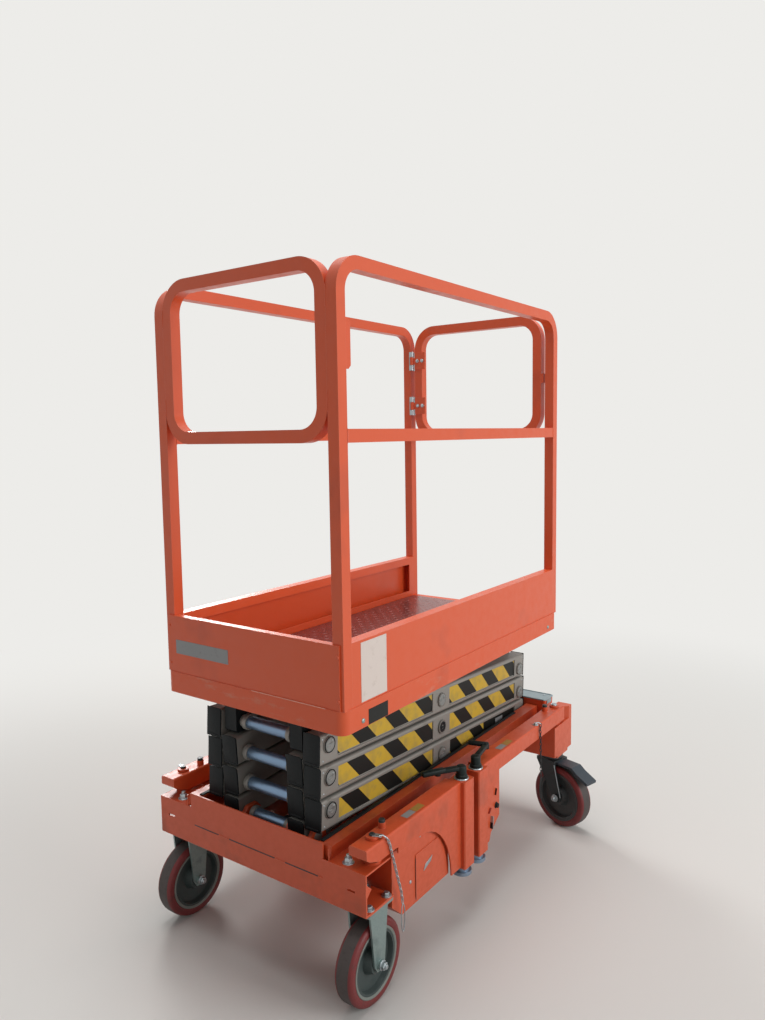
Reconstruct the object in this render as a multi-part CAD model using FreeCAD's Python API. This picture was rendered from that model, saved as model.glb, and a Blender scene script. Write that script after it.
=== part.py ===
import FreeCAD, Part
import math
import os

# Push-around scissor lift: folded deck, three scissor stages, steel base on castors and outriggers.
# Millimetres. Z is up from the ground, +X points to the gate end, Y runs across and Y = 0 is the middle.
# Every node is written as parts/NAME.step.

V = FreeCAD.Vector
os.makedirs("parts", exist_ok=True)

# Castor wheels
WHEEL_R, WHEEL_W = 100.0, 50.0
TREAD = 20.0                      # depth of the tyre over the hub
AXLE_R = 6.0
CASTOR_X, CASTOR_Y = 519.0, 305.0
TRAIL, TRAIL_DIR = 48.0, (-0.27, -0.963)
FORK_Y = 31.0                     # fork leg's middle from the wheel's middle
FORK_PLATE = 5.0
CROWN_Z = 2 * WHEEL_R + 8         # underside of the fork's crown

# Base
BEAM_Z0 = 2 * WHEEL_R + 44
BEAM_H, BEAM_Y = 100.0, 347.0
BEAM_Z1 = BEAM_Z0 + BEAM_H
NEAR_BEAM_X = (-579.0, -474.0)
FAR_BEAM_X = (450.0, 588.0)
PLATE = 4.0
FLOOR_Z = BEAM_Z0 + 50
CREST_H = 38.0
TIE_Y, TIE_R = 150.0, 9.0          # tie-down holes in the web of the far beam, below the floor
BOX_X, BOX_Y = (FAR_BEAM_X[1] - 37, FAR_BEAM_X[1] + 31), BEAM_Y - 80
BOX_H = 48.0
CABINET_X0, CABINET_Y = -465.0, (205.0, 336.0)

# Scissor arms
PIN_X, PIN_Z = 508.0, BEAM_Z1
ARM_H, ARM_GAP = 74.0, 6.0
PITCH = ARM_H + ARM_GAP
ARM_END, ARM_OFFSET, ARM_WALL = 30.0, 10.0, 4.0
INNER_Y = (86.0, 135.0)
OUTER_Y = (141.0, 190.0)
SHAFT_R, BORE_R, OPEN_R = 15.0, 15.06, 15.5
HEAD_R, BOSS_R = 20.0, 25.5
ROLLER_R, ROLLER_GAP = 24.0, 1.0
RAIL_Y = (200.0, 240.0)
RAIL_H = 2 * (ROLLER_R + ROLLER_GAP + PLATE)
RAIL_Z0 = PIN_Z - RAIL_H / 2

# Deck and guard rails
DECK_X, DECK_Y = 575.0, 294.0
SKIRT_H, SKIRT_PROUD = 55.0, 6.0
DECK_Z0 = PIN_Z + 3 * PITCH + 63
DECK_Z1 = DECK_Z0 + SKIRT_H
DECK_PLATE, SHEET = 3.0, 3.0
TOE_TOP = DECK_Z1 + 148
TUBE, TUBE_WALL = 30.0, 2.5
MID_Z = DECK_Z1 + 589
TOP_Z = DECK_Z1 + 960
RAIL_BEND = 80.0
GATE_Y = DECK_Y - 44                # free edge of the gate loop
HINGE_X, HINGE_Y = DECK_X - 35, DECK_Y - 39
HINGE_Z = (MID_Z + 120, TOP_Z - 89)

# Outriggers
ARM_TUBE_Y = (297.0, 347.0)
ARM_TUBE_Z = (BEAM_Z1 + 6, BEAM_Z1 + 54)
ARM_TUBE_WALL = 3.0
NEAR_PIVOT, FAR_PIVOT = -520.0, 500.0
PIVOT_Y, PIVOT_R = 322.0, 11.9
JACK_Y = 335.0
NEAR_JACK, FAR_JACK = -138.0, -60.0
SWING_CLEAR = 68.0                # from the pivot to an arm's gusset, to pass the beam at full swing
SLEEVE, SLEEVE_Z0 = 50.0, BEAM_Z0 - 84
SCREW_R = 10.0
FOOT_Z = SLEEVE_Z0 - 23

# Lift cylinder: barrel eye in lugs under the floor, rod eye on a pin between the first inner arms
BARREL_EYE = (-430.0, FLOOR_Z - 10)
ROD_EYE_ALONG, ROD_EYE_ABOVE = 820.0, 60.0
BARREL_R, ROD_R, EYE_R = 24.0, 13.0, 28.0
EYE_PIN_R, EYE_OPEN = 12.0, 7.8   # EYE_OPEN: room for the rod eye's drift about its pin

theta = math.atan2(PITCH, 2 * PIN_X)
arm_len = math.hypot(PITCH, 2 * PIN_X)
rod_eye = (-PIN_X + ROD_EYE_ALONG * math.cos(theta) - ROD_EYE_ABOVE * math.sin(theta),
           PIN_Z + ROD_EYE_ALONG * math.sin(theta) + ROD_EYE_ABOVE * math.cos(theta))


def box(x0, x1, y0, y1, z0, z1):
    return Part.makeBox(x1 - x0, y1 - y0, z1 - z0, V(x0, y0, z0))


def rod(radius, start, end):
    axis = V(*end) - V(*start)
    return Part.makeCylinder(radius, axis.Length, V(*start), axis)


def ring(outer, inner, start, end):
    return rod(outer, start, end).cut(rod(inner, start, end))


def lathe(profile):
    """Turns a closed outline of (radius, along Y) points about the Y axis."""
    pts = [V(r, s, 0) for r, s in profile]
    return Part.Face(Part.makePolygon(pts + pts[:1])).revolve(V(0, 0, 0), V(0, 1, 0), 360)


def fuse(shapes):
    shapes = list(shapes)
    return shapes[0].fuse(shapes[1:]).removeSplitter() if len(shapes) > 1 else shapes[0]


def mirror(shape):
    """The same shape on the other side of the middle plane Y = 0."""
    return shape.mirror(V(0, 0, 0), V(0, 1, 0))


def both(shape):
    return [shape, mirror(shape)]


def edges_along(shape, direction):
    d = V(*direction)
    return [e for e in shape.Edges if len(e.Vertexes) == 2 and isinstance(e.Curve, Part.Line)
            and abs(abs((e.Vertexes[1].Point - e.Vertexes[0].Point).normalize().dot(d)) - 1) < 1e-6]


def rounded(shape, radius, direction):
    """Rounds the edges that run along a direction."""
    return shape.makeFillet(radius, edges_along(shape, direction))


def bevelled(shape, size, direction):
    """Chamfers the edges that run along a direction."""
    return shape.makeChamfer(size, edges_along(shape, direction))


def channel(x0, x1, y0, y1, z0, z1, wall, open_to):
    """A folded channel: a box whose inside is cut out through the named side."""
    cut = {"+x": (x0 + wall, x1 + 1, y0, y1), "-x": (x0 - 1, x1 - wall, y0, y1),
           "+y": (x0, x1, y0 + wall, y1 + 1), "-y": (x0, x1, y0 - 1, y1 - wall)}[open_to]
    return box(x0, x1, y0, y1, z0, z1).cut(box(*cut, z0 + wall, z1 - wall))


def prism(points, plane, low, high):
    """A flat outline pushed along Y ("xz" points) or along Z ("xy" points)."""
    at = (lambda u, v: V(u, low, v)) if plane == "xz" else (lambda u, v: V(u, v, low))
    pts = [at(*p) for p in points]
    face = Part.Face(Part.makePolygon(pts + pts[:1]))
    return face.extrude(V(0, high - low, 0) if plane == "xz" else V(0, 0, high - low))


def square_tube(path, size, wall, up):
    """A square tube swept along a wire, closed or open, with its hollow cut out."""
    edge = path.Edges[0]
    start = edge.valueAt(edge.FirstParameter)
    u = V(*up)
    side = edge.tangentAt(edge.FirstParameter).cross(u).normalize()

    def swept(half):
        pts = [start + u * (half * b) + side * (half * a) for a, b in ((-1, -1), (1, -1), (1, 1), (-1, 1))]
        return path.makePipeShell([Part.makePolygon(pts + pts[:1])], True, False)

    return swept(size / 2).cut(swept(size / 2 - wall))


def loop_path(plane_x, y0, y1, z0, z1, radius):
    """Closed rounded rectangle in the plane X = plane_x, starting at the middle of its lower side."""
    r = radius
    k = r * (1 - math.sqrt(0.5))
    P = lambda y, z: V(plane_x, y, z)
    mid = (y0 + y1) / 2
    edges = [Part.makeLine(P(mid, z0), P(y1 - r, z0)),
             Part.Arc(P(y1 - r, z0), P(y1 - k, z0 + k), P(y1, z0 + r)).toShape(),
             Part.makeLine(P(y1, z0 + r), P(y1, z1 - r)),
             Part.Arc(P(y1, z1 - r), P(y1 - k, z1 - k), P(y1 - r, z1)).toShape(),
             Part.makeLine(P(y1 - r, z1), P(y0 + r, z1)),
             Part.Arc(P(y0 + r, z1), P(y0 + k, z1 - k), P(y0, z1 - r)).toShape(),
             Part.makeLine(P(y0, z1 - r), P(y0, z0 + r)),
             Part.Arc(P(y0, z0 + r), P(y0 + k, z0 + k), P(y0 + r, z0)).toShape(),
             Part.makeLine(P(y0 + r, z0), P(mid, z0))]
    return Part.Wire(edges)


def rail_path(y, x0, x1, z0, z1, radius):
    """Open hoop in the plane Y = y: up one post, along the top rail and down the other post."""
    r = radius
    k = r * (1 - math.sqrt(0.5))
    P = lambda x, z: V(x, y, z)
    return Part.Wire([Part.makeLine(P(x0, z0), P(x0, z1 - r)),
                      Part.Arc(P(x0, z1 - r), P(x0 + k, z1 - k), P(x0 + r, z1)).toShape(),
                      Part.makeLine(P(x0 + r, z1), P(x1 - r, z1)),
                      Part.Arc(P(x1 - r, z1), P(x1 - k, z1 - k), P(x1, z1 - r)).toShape(),
                      Part.makeLine(P(x1, z1 - r), P(x1, z0))])


# Scissor arms
def pin_point(stage, end):
    """Rest place (x, z) of a shared pin: end "low" or "high" of the inner arm, or "mid"."""
    z = PIN_Z + PITCH * (stage - 1)
    return {"low": (-PIN_X, z), "mid": (0.0, z + PITCH / 2), "high": (PIN_X, z + PITCH)}[end]


def arm_tilt():
    """The tube's small turn against its pin line, so that its ends sit above and below the pins."""
    return math.degrees(math.asin(2 * ARM_OFFSET / arm_len))


def arm_tube(outer):
    """Hollow arm in its own frame: pin line along X from (0, 0) to (arm_len, 0), Z up.

    The lower-end pin is ARM_OFFSET below the tube's middle line and the upper-end pin above it.
    """
    y0, y1 = OUTER_Y if outer else INNER_Y
    half, w = arm_len / 2 + ARM_END, ARM_WALL
    body = rounded(box(-half, half, y0, y1, -ARM_H / 2, ARM_H / 2), 7.0, (1, 0, 0))
    body = body.cut(box(-half - 1, half + 1, y0 + w, y1 - w - 3, -ARM_H / 2 + w, ARM_H / 2 - w))
    length = half - 110
    for a in (-half / 2 + 9, half / 2 - 9):
        recess = box(a - length / 2, a + length / 2, y1 - 3, y1 + 1, -ARM_H / 2 + 10, ARM_H / 2 - 10)
        body = body.cut(recess)
    body.rotate(V(0, 0, 0), V(0, 1, 0), arm_tilt())
    body.translate(V(arm_len / 2, 0, 0))
    for x in (0, arm_len / 2, arm_len):
        body = body.fuse(rod(BOSS_R, (x, y0, 0), (x, y1, 0)))
    return body


def placed(shape, stage, outer):
    """Turns a shape from an arm's own frame to its rest place on a stage."""
    shape = shape.copy()
    x, z = pin_point(stage, "low")
    turn = math.degrees(theta)
    shape.rotate(V(0, 0, 0), V(0, 1, 0), turn if outer else -turn)
    shape.translate(V(x, 0, z + (PITCH if outer else 0)))
    return shape


def flip_offset(shape):
    """For an outer arm the low end is on the right, so the tube's tilt is mirrored."""
    return shape.mirror(V(0, 0, 0), V(0, 0, 1))


def scissor_arms(stage, outer):
    """One pair of arms with the shafts that turn with it."""
    y0, y1 = OUTER_Y if outer else INNER_Y
    tube = arm_tube(outer)
    tube = flip_offset(tube) if outer else tube
    low, mid, high = 0.0, arm_len / 2, arm_len
    adds, holes = [], []

    def shaft(x, ya, yb, radius=SHAFT_R):
        adds.append(rod(radius, (x, ya, 0), (x, yb, 0)))

    def head(x, ya):
        adds.append(rod(HEAD_R, (x, ya, 0), (x, ya + 4, 0)))

    if outer:
        shaft(low, 0, y1)
        head(low, y1)
        if stage == 1:
            shaft(high, y1 - 20, RAIL_Y[1] - 16, 12)
            adds.append(rod(ROLLER_R, (high, RAIL_Y[0] + 3, 0), (high, RAIL_Y[1] - 16, 0)))
        else:
            holes.append(rod(OPEN_R, (high, y0 - 1, 0), (high, y1 + 1, 0)))
        holes.append(rod(BORE_R, (mid, y0 - 1, 0), (mid, y1 + 1, 0)))
    else:
        if stage == 1:
            shaft(low, 0, INNER_Y[1] + 16)
            a, e = ROD_EYE_ALONG, ROD_EYE_ABOVE
            adds.append(rod(EYE_PIN_R, (a, 0, e), (a, y0 - 6, e)))
            hanger = [(a - 34, -10), (a + 34, -10), (a + 20, e + 12), (a - 20, e + 12)]
            adds += [prism(hanger, "xz", y0 - 12, y0 - 6), box(a - 34, a + 34, y0 - 7, y0 + 1, -10, 24)]
        else:
            holes.append(rod(BORE_R, (low, y0 - 1, 0), (low, y1 + 1, 0)))
        shaft(mid, y0 - 6, OUTER_Y[1] + 3)
        head(mid, OUTER_Y[1] + 0.5)
        if stage == 3:
            shaft(high, y0 - 24, y1, 12)
            adds.append(rod(ROLLER_R, (high, y0 - 24, 0), (high, y0 - 7, 0)))
            shaft(arm_len / 4, 0, y0 + 2, 14)
        else:
            shaft(high, 0, OUTER_Y[1] + 3)
            head(high, OUTER_Y[1] + 0.5)
    side = tube.cut(fuse(holes)) if holes else tube
    return placed(fuse(both(fuse([side.fuse(adds)]))), stage, outer)


def arm_caps(stage, outer):
    """Black moulded plugs in the four open ends of a pair of arms."""
    y0, y1 = OUTER_Y if outer else INNER_Y
    half, w = arm_len / 2 + ARM_END, ARM_WALL
    caps = []
    for s in (-1, 1):
        face = box(half, half + 4, y0 + 0.5, y1 - 0.5, -ARM_H / 2 + 0.5, ARM_H / 2 - 0.5)
        face = bevelled(face, 4.0, (1, 0, 0))
        cap = fuse([face, box(half - 3.5, half, y0 + w, y1 - w - 3, -ARM_H / 2 + w, ARM_H / 2 - w)])
        if s < 0:
            cap.rotate(V(0, (y0 + y1) / 2, 0), V(0, 0, 1), 180)
            cap = cap.mirror(V(0, (y0 + y1) / 2, 0), V(0, 1, 0))
        cap.rotate(V(0, 0, 0), V(0, 1, 0), arm_tilt())
        cap.translate(V(arm_len / 2, 0, 0))
        caps.append(flip_offset(cap) if outer else cap)
    return placed(Part.makeCompound([c for cap in caps for c in both(cap)]), stage, outer)


# Lift cylinder
def cylinder_parts():
    """Barrel and rod between the two eyes, in their rest places."""
    (x1, z1), (x2, z2) = BARREL_EYE, rod_eye
    length = math.hypot(x2 - x1, z2 - z1)
    turn = math.degrees(math.atan2(z2 - z1, x2 - x1))
    end, bore = 0.76 * length, ROD_R + 0.06
    outline = [(0, 20), (BARREL_R, 20), (BARREL_R, end - 30), (BARREL_R + 4, end - 30), (BARREL_R + 4, end),
               (bore, end), (bore, 60), (0, 60)]
    tube = lathe(outline)
    tube.rotate(V(0, 0, 0), V(0, 0, 1), -90)
    port = rod(9, (end - 60, 0, BARREL_R - 4), (end - 60, 0, BARREL_R + 10))
    barrel = fuse([tube, rod(EYE_R, (0, -33, 0), (0, 33, 0)), port])
    barrel = barrel.cut(rod(EYE_PIN_R + 0.06, (0, -34, 0), (0, 34, 0)))
    shank = fuse([rod(ROD_R, (120, 0, 0), (length - 20, 0, 0)),
                  rod(EYE_R, (length, -22, 0), (length, 22, 0))])
    shank = shank.cut(rod(EYE_PIN_R + EYE_OPEN, (length, -23, 0), (length, 23, 0)))
    out = []
    for shape in (barrel, shank):
        shape.rotate(V(0, 0, 0), V(0, 1, 0), -turn)
        shape.translate(V(x1, 0, z1))
        out.append(shape)
    return out


# Platform
def deck_frame():
    """Skirt with its folded-in rims, two cross members under the floor and the sill at the gate."""
    x, y = DECK_X + SKIRT_PROUD, DECK_Y + 2
    skirt = rounded(box(-x, DECK_X, -y, y, DECK_Z0, DECK_Z1), 22.0, (0, 0, 1))
    inner = box(-x + SHEET, DECK_X - SHEET, -y + SHEET, y - SHEET, DECK_Z0 + SHEET, DECK_Z1 - SHEET)
    inner = rounded(inner, 22.0 - SHEET, (0, 0, 1))
    mouth = box(-DECK_X + 38, DECK_X - 38, -DECK_Y + 38, DECK_Y - 38, DECK_Z0 - 1, DECK_Z1 + 1)
    parts = [skirt.cut(inner).cut(mouth)]
    for cx in (-PIN_X, 300.0):
        parts.append(channel(cx - 20, cx + 20, -DECK_Y + 2, DECK_Y - 2, DECK_Z1 - 34, DECK_Z1, SHEET, "+x"))
    parts.append(box(DECK_X - 34, DECK_X - 2, -DECK_Y + 34, DECK_Y - 34, DECK_Z1 - 1, DECK_Z1 + 1))
    return fuse(parts)


def deck_tracks():
    """Channels under the floor that the upper rollers run in, open to the outside."""
    z = pin_point(3, "high")[1]
    half = ROLLER_R + ROLLER_GAP
    y0, y1 = INNER_Y[0] - 30, INNER_Y[0] - 6
    top = DECK_Z1 - 34
    end = DECK_X - 38
    web = box(20, end, y0, y0 + 4, z - half - 4, top)
    flanges = [box(20, end, y0, y1, z - half - 4, z - half), box(20, end, y0, y1, z + half, z + half + 4)]
    stop = box(20, 45, y0 + 2, y1, z - half - 2, z + half + 2)
    return Part.makeCompound(both(fuse([web, stop] + flanges)))


def deck_lugs():
    """Stub tubes under the near cross member that hold the top shaft."""
    z = pin_point(3, "high")[1]
    y0, y1 = INNER_Y[0] + 5, INNER_Y[1] - 4
    stub = box(-PIN_X - 27, -PIN_X + 27, y0, y1, z - 26, DECK_Z1 - 34)
    inside = box(-PIN_X - 23, -PIN_X + 28, y0 + 4, y1 - 4, z - 22, DECK_Z1 - 38)
    stub = bevelled(stub, 5.0, (0, 1, 0)).cut(inside)
    stub = stub.cut(rod(BORE_R, (-PIN_X, y0 - 1, z), (-PIN_X, y1 + 1, z)))
    return Part.makeCompound(both(stub))


def deck_plate():
    y = DECK_Y - TUBE - 3.2
    return box(-DECK_X + 4, DECK_X - 36, -y, y, DECK_Z1, DECK_Z1 + DECK_PLATE)


def toe_boards():
    """Folded trays along both sides and a plain kick plate over the near posts."""
    x0, x1 = -DECK_X + TUBE, DECK_X - TUBE
    y0, y1 = DECK_Y - TUBE, DECK_Y
    tray = box(x0, x1, y0, y1, DECK_Z1, TOE_TOP)
    tray = tray.cut(box(x0 + SHEET, x1 - SHEET, y0 + SHEET, y1 - SHEET, DECK_Z1 + SHEET, TOE_TOP - SHEET))
    tray = tray.cut(box(x0 + 24, x1 - 24, y0 - 1, y0 + SHEET + 1, DECK_Z1 + 22, TOE_TOP - 26))
    end = box(-DECK_X - 4, -DECK_X, -DECK_Y + 9, DECK_Y - 9, DECK_Z1, TOE_TOP)
    lip = box(-DECK_X - 4, -DECK_X + 14, -y0 + 1, y0 - 1, TOE_TOP - SHEET, TOE_TOP)
    inner = box(-DECK_X, -DECK_X + TUBE, y0 - 3, y0 - 0.5, DECK_Z1 + 3, TOE_TOP - 4)
    return Part.makeCompound(both(tray) + [fuse([end, lip] + both(inner))])


def side_rail(side):
    """Hoop of square tube with a mid rail on one long side."""
    c = TUBE / 2
    path = rail_path(DECK_Y - c, -DECK_X + c, DECK_X - c, DECK_Z1, TOP_Z + c, RAIL_BEND - c)
    hoop = square_tube(path, TUBE, TUBE_WALL, (0, 1, 0))
    x, w = DECK_X - TUBE, TUBE_WALL
    mid = box(-x - 1, x + 1, DECK_Y - TUBE, DECK_Y, MID_Z, MID_Z + TUBE)
    mid = mid.cut(box(-x - 2, x + 2, DECK_Y - TUBE + w, DECK_Y - w, MID_Z + w, MID_Z + TUBE - w))
    parts = [hoop, mid]
    if side < 0:
        tab = box(-x - 1, -DECK_X + 78, DECK_Y - TUBE, DECK_Y - TUBE + 5, TOP_Z - 210, TOP_Z - 100)
        parts.append(bevelled(tab, 8.0, (0, 1, 0)))
    rail = fuse(parts)
    return mirror(rail) if side < 0 else rail


def end_loop():
    c = TUBE / 2
    y = DECK_Y - TUBE - c
    path = loop_path(-DECK_X + c, -y, y, MID_Z + c, TOP_Z + c, RAIL_BEND - c)
    return square_tube(path, TUBE, TUBE_WALL, (1, 0, 0))


def gate_frame():
    """Gate loop with its hinge leaves, knuckles and catch."""
    c = TUBE / 2
    x = DECK_X - c
    path = loop_path(x, -GATE_Y + c, HINGE_Y - 10 - c, MID_Z + c, TOP_Z + c, RAIL_BEND - c)
    loop = square_tube(path, TUBE, TUBE_WALL, (1, 0, 0))
    catch = box(HINGE_X + 6, HINGE_X + 22, -GATE_Y - 8, -GATE_Y + 1, TOP_Z - 192, TOP_Z - 162)
    parts = [loop, catch]
    for z in HINGE_Z:
        parts.append(box(HINGE_X + 1, HINGE_X + 6, HINGE_Y - 55, HINGE_Y - 11, z - 30, z + 30))
        leaf = box(HINGE_X, HINGE_X + 6, HINGE_Y - 12, HINGE_Y + 1, z - 12, z + 12)
        parts.append(leaf.cut(rod(6, (HINGE_X, HINGE_Y, z - 15), (HINGE_X, HINGE_Y, z + 15))))
    gate = fuse(parts)
    return gate.fuse([ring(7, 4.1, (HINGE_X, HINGE_Y, z - 14), (HINGE_X, HINGE_Y, z + 14)) for z in HINGE_Z])


def gate_hinges():
    out = []
    x, y = HINGE_X, HINGE_Y
    for z in HINGE_Z:
        parts = [rod(4.0, (x, y, z - 33), (x, y, z + 33)), box(x - 4, DECK_X, y + 7, y + 9, z - 33, z + 33)]
        for a, b in ((z - 33, z - 15), (z + 15, z + 33)):
            parts += [rod(7, (x, y, a), (x, y, b)), box(x - 4, x + 8, y + 3, y + 9, a, b)]
        out.append(fuse(parts))
    return Part.makeCompound(out)


# Base
def pivot_posts(x):
    """Posts that an outrigger pair turns on, each with a washer below and a head above."""
    posts = []
    for y in (-PIVOT_Y, PIVOT_Y):
        posts += [rod(PIVOT_R, (x, y, BEAM_Z1 - 3), (x, y, ARM_TUBE_Z[1] + 3)),
                  rod(20, (x, y, BEAM_Z1 - 1), (x, y, ARM_TUBE_Z[0] - 1)),
                  rod(15, (x, y, ARM_TUBE_Z[1] + 1), (x, y, ARM_TUBE_Z[1] + 7))]
    return posts


def near_beam():
    """Folded beam at the near end, its crest plate, castor pads and pivot posts."""
    t = PLATE
    x0, x1 = NEAR_BEAM_X
    beam = channel(x0, x1, -BEAM_Y, BEAM_Y, BEAM_Z0, BEAM_Z1, t, "+x")
    beam = beam.cut(box(x0 + 3, x1 + 4, -RAIL_Y[1], RAIL_Y[1], BEAM_Z1 - t - 1, BEAM_Z1 + 1))
    beam = beam.cut(box(x0 + 14, x1 + 4, -RAIL_Y[1], RAIL_Y[1], RAIL_Z0, BEAM_Z1 + 1))
    crest = box(x0, x0 + t, -225, 225, BEAM_Z1 - 2, BEAM_Z1 + CREST_H)
    pads = both(box(-CASTOR_X - 43, -CASTOR_X + 43, CASTOR_Y - 40, CASTOR_Y + 40, BEAM_Z0 - t, BEAM_Z0 + 2))
    corner = [(x0 + 2, BEAM_Z0 + 34), (x0 + 2, BEAM_Z0 + 78), (x0 + 26, BEAM_Z0 + 56)]
    gusset = both(prism(corner, "xz", BEAM_Y - 8, BEAM_Y - 4))
    frame = fuse([beam, crest] + pads + gusset + pivot_posts(NEAR_PIVOT))
    slots = [box(x0 - 1, x0 + t + 1, y - 12, y + 12, BEAM_Z0 + up, BEAM_Z0 + up + 5)
             for y, up in ((304, 53), (-304, 49))]
    return frame.cut(fuse(slots))


def far_beam():
    """Folded beam at the gate end: swivel seats, pivot posts, tie-down holes, blocks behind the arms."""
    t = PLATE
    x0, x1 = FAR_BEAM_X
    beam = channel(x0, x1, -BEAM_Y, BEAM_Y, BEAM_Z0, BEAM_Z1, t, "+x")
    beam = beam.cut(box(x0 - 1, 546, -RAIL_Y[1], RAIL_Y[1], RAIL_Z0, BEAM_Z1 + 1))
    beam = beam.cut(box(x0 - 1, x0 + t + 1, -198, 198, FLOOR_Z, BEAM_Z1 + 1))
    tie_z = (BEAM_Z0 + FLOOR_Z) / 2
    beam = beam.cut(fuse(rod(TIE_R, (x0 - 1, y, tie_z), (x0 + t + 1, y, tie_z)) for y in (-TIE_Y, TIE_Y)))
    pad = box(CASTOR_X - 43, CASTOR_X + 43, CASTOR_Y - 40, CASTOR_Y + 40, BEAM_Z0 - 10, BEAM_Z0 + 2)
    pads = both(pad.cut(rod(10.06, (CASTOR_X, CASTOR_Y, BEAM_Z0 - 12), (CASTOR_X, CASTOR_Y, BEAM_Z0 + 3))))
    ends = both(box(x0, x1, BEAM_Y - t, BEAM_Y, BEAM_Z0, BEAM_Z1))
    xc = FAR_PIVOT + 42
    block = [(xc, 300), (x1, 300), (x1, BEAM_Y), (xc + 26, BEAM_Y), (xc, BEAM_Y - 26)]
    corner = prism(block, "xy", BEAM_Z1 - 1, BEAM_Z1 + 42)
    return fuse([beam] + pads + ends + both(corner) + pivot_posts(FAR_PIVOT))


def base_rails():
    """Channels that the lower rollers run in, open to the inside, between the two beams."""
    x0, x1 = NEAR_BEAM_X[0] + 14, 546.0
    rail = channel(x0, x1, RAIL_Y[0], RAIL_Y[1], RAIL_Z0, RAIL_Z0 + RAIL_H, PLATE, "-y")
    return Part.makeCompound(both(rail))


def base_floor():
    """Floor plate with its side walls, the lugs of the lowest shaft and those of the cylinder's eye."""
    t = PLATE
    x, z = BARREL_EYE
    x0, x1 = NEAR_BEAM_X[0] + t, FAR_BEAM_X[0]
    floor = box(x0, x1, -196, 196, FLOOR_Z - t, FLOOR_Z)
    floor = floor.cut(box(x - 36, 300, -60, 60, FLOOR_Z - t - 1, FLOOR_Z + 1))
    eye = [rod(EYE_PIN_R, (x, -44, z), (x, 44, z)), box(x - 40, x - 36, -64, 64, z - 22, FLOOR_Z + 8)]
    eye += both(box(x - 40, x + 34, 36, 42, z - 22, FLOOR_Z + 8))
    eye += both(box(x - 40, 300, 58, 62, z - 8, FLOOR_Z))
    walls = both(box(NEAR_BEAM_X[1], x1, 196, RAIL_Y[0], BEAM_Z0 + 10, RAIL_Z0 + 12))
    lugs = []
    for y0, y1 in ((INNER_Y[1] + 6, INNER_Y[1] + 16), (INNER_Y[0] - 18, INNER_Y[0] - 6)):
        foot, neck, top = FLOOR_Z - 1, PIN_Z + 8, PIN_Z + 22
        lug = prism([(-PIN_X - 32, foot), (-PIN_X - 28, neck), (-PIN_X - 16, top), (-PIN_X + 16, top),
                     (-PIN_X + 28, neck), (-PIN_X + 32, foot)], "xz", y0, y1)
        lugs += both(lug.cut(rod(BORE_R, (-PIN_X, y0 - 1, PIN_Z), (-PIN_X, y1 + 1, PIN_Z))))
    return fuse([floor] + eye + walls + lugs)


def side_cabinets():
    """Sheet boxes between the castors, rounded at the jack, with a door plate on the outer face."""
    t = 2.0
    y0, y1 = CABINET_Y

    def shell(inset, ya, yb):
        a = inset
        left, low, top, r = CABINET_X0 + a, BEAM_Z0 - 76 + a, BEAM_Z1 - 4 - a, 140 - a
        outline = [(left, top), (left, low + 38 - a), (left + 40 - a / 2, low), (-210 - a, low)]
        turns = [math.radians(u) for u in range(90, -1, -10)]
        outline += [(-350 + r * math.sin(u), top - r * (1 - math.cos(u))) for u in turns]
        return prism(outline, "xz", ya, yb)

    cab = shell(0, y0, y1).cut(shell(t, y0 + t, y1 - t))
    cab = cab.cut(box(-470, -200, y0 - 5, RAIL_Y[1] + 6, BEAM_Z0 + 48, BEAM_Z1 + 1))
    door = shell(14, y1 - 1, y1 + 2).cut(box(-470, -366, y1 - 2, y1 + 3, BEAM_Z0 - 84, BEAM_Z1 + 1))
    door = door.cut(box(-470, -150, y1 - 2, y1 + 3, BEAM_Z0 + 46, BEAM_Z1 + 1))
    tab = box(-440, -220, RAIL_Y[0], y0 + 1, BEAM_Z0 + 18, BEAM_Z0 + 46)
    return Part.makeCompound(both(fuse([cab, door, tab])))


def power_box():
    t = 2.5
    x0, x1 = BOX_X
    tub = rounded(box(x0, x1, -BOX_Y, BOX_Y, BEAM_Z1, BEAM_Z1 + BOX_H), 8.0, (0, 0, 1))
    return tub.cut(box(x0 + t, x1 - t, -BOX_Y + t, BOX_Y - t, BEAM_Z1 + t, BEAM_Z1 + BOX_H + 1))


def power_box_lid():
    (x0, x1), y, z = BOX_X, BOX_Y + 2, BEAM_Z1 + BOX_H
    lid = rounded(box(x0 - 1, x1 + 2, -y, y, z, z + 2), 8.0, (0, 0, 1))
    return fuse([lid] + both(box(x0 + 14, x1 - 19, BOX_Y, y, z - 14, z + 1)))


def battery_block():
    (x0, x1), z, top = BOX_X, BEAM_Z1 + 2.5, BEAM_Z1 + BOX_H - 10
    poles = [rod(6, (x0 + 33, y, top - 1), (x0 + 33, y, top + 5)) for y in (-200, 60)]
    return fuse([box(x0 + 5, x1 - 7, -BOX_Y + 17, 90, z, top)] + poles)


# Castors
def wheel(x, y):
    """Tyre and hub of a castor wheel with its axle along Y."""
    w, rim = WHEEL_W / 2, WHEEL_R - TREAD
    sides = [(WHEEL_R - 9, w), (WHEEL_R - 3, w - 3), (WHEEL_R, w - 9)]
    tyre = lathe([(rim, w)] + sides + [(r, -s) for r, s in sides[::-1]] + [(rim, -w)])
    half = [(rim - 0.2, w - 3), (rim - 12, w - 3), (rim - 16, 9), (32, 7), (24, w + 2)]
    half.append((AXLE_R + 0.06, w + 2))
    hub = lathe(half + [(r, -s) for r, s in half[::-1]])
    for part in (tyre, hub):
        part.translate(V(x, y, WHEEL_R))
    return tyre, hub


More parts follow.
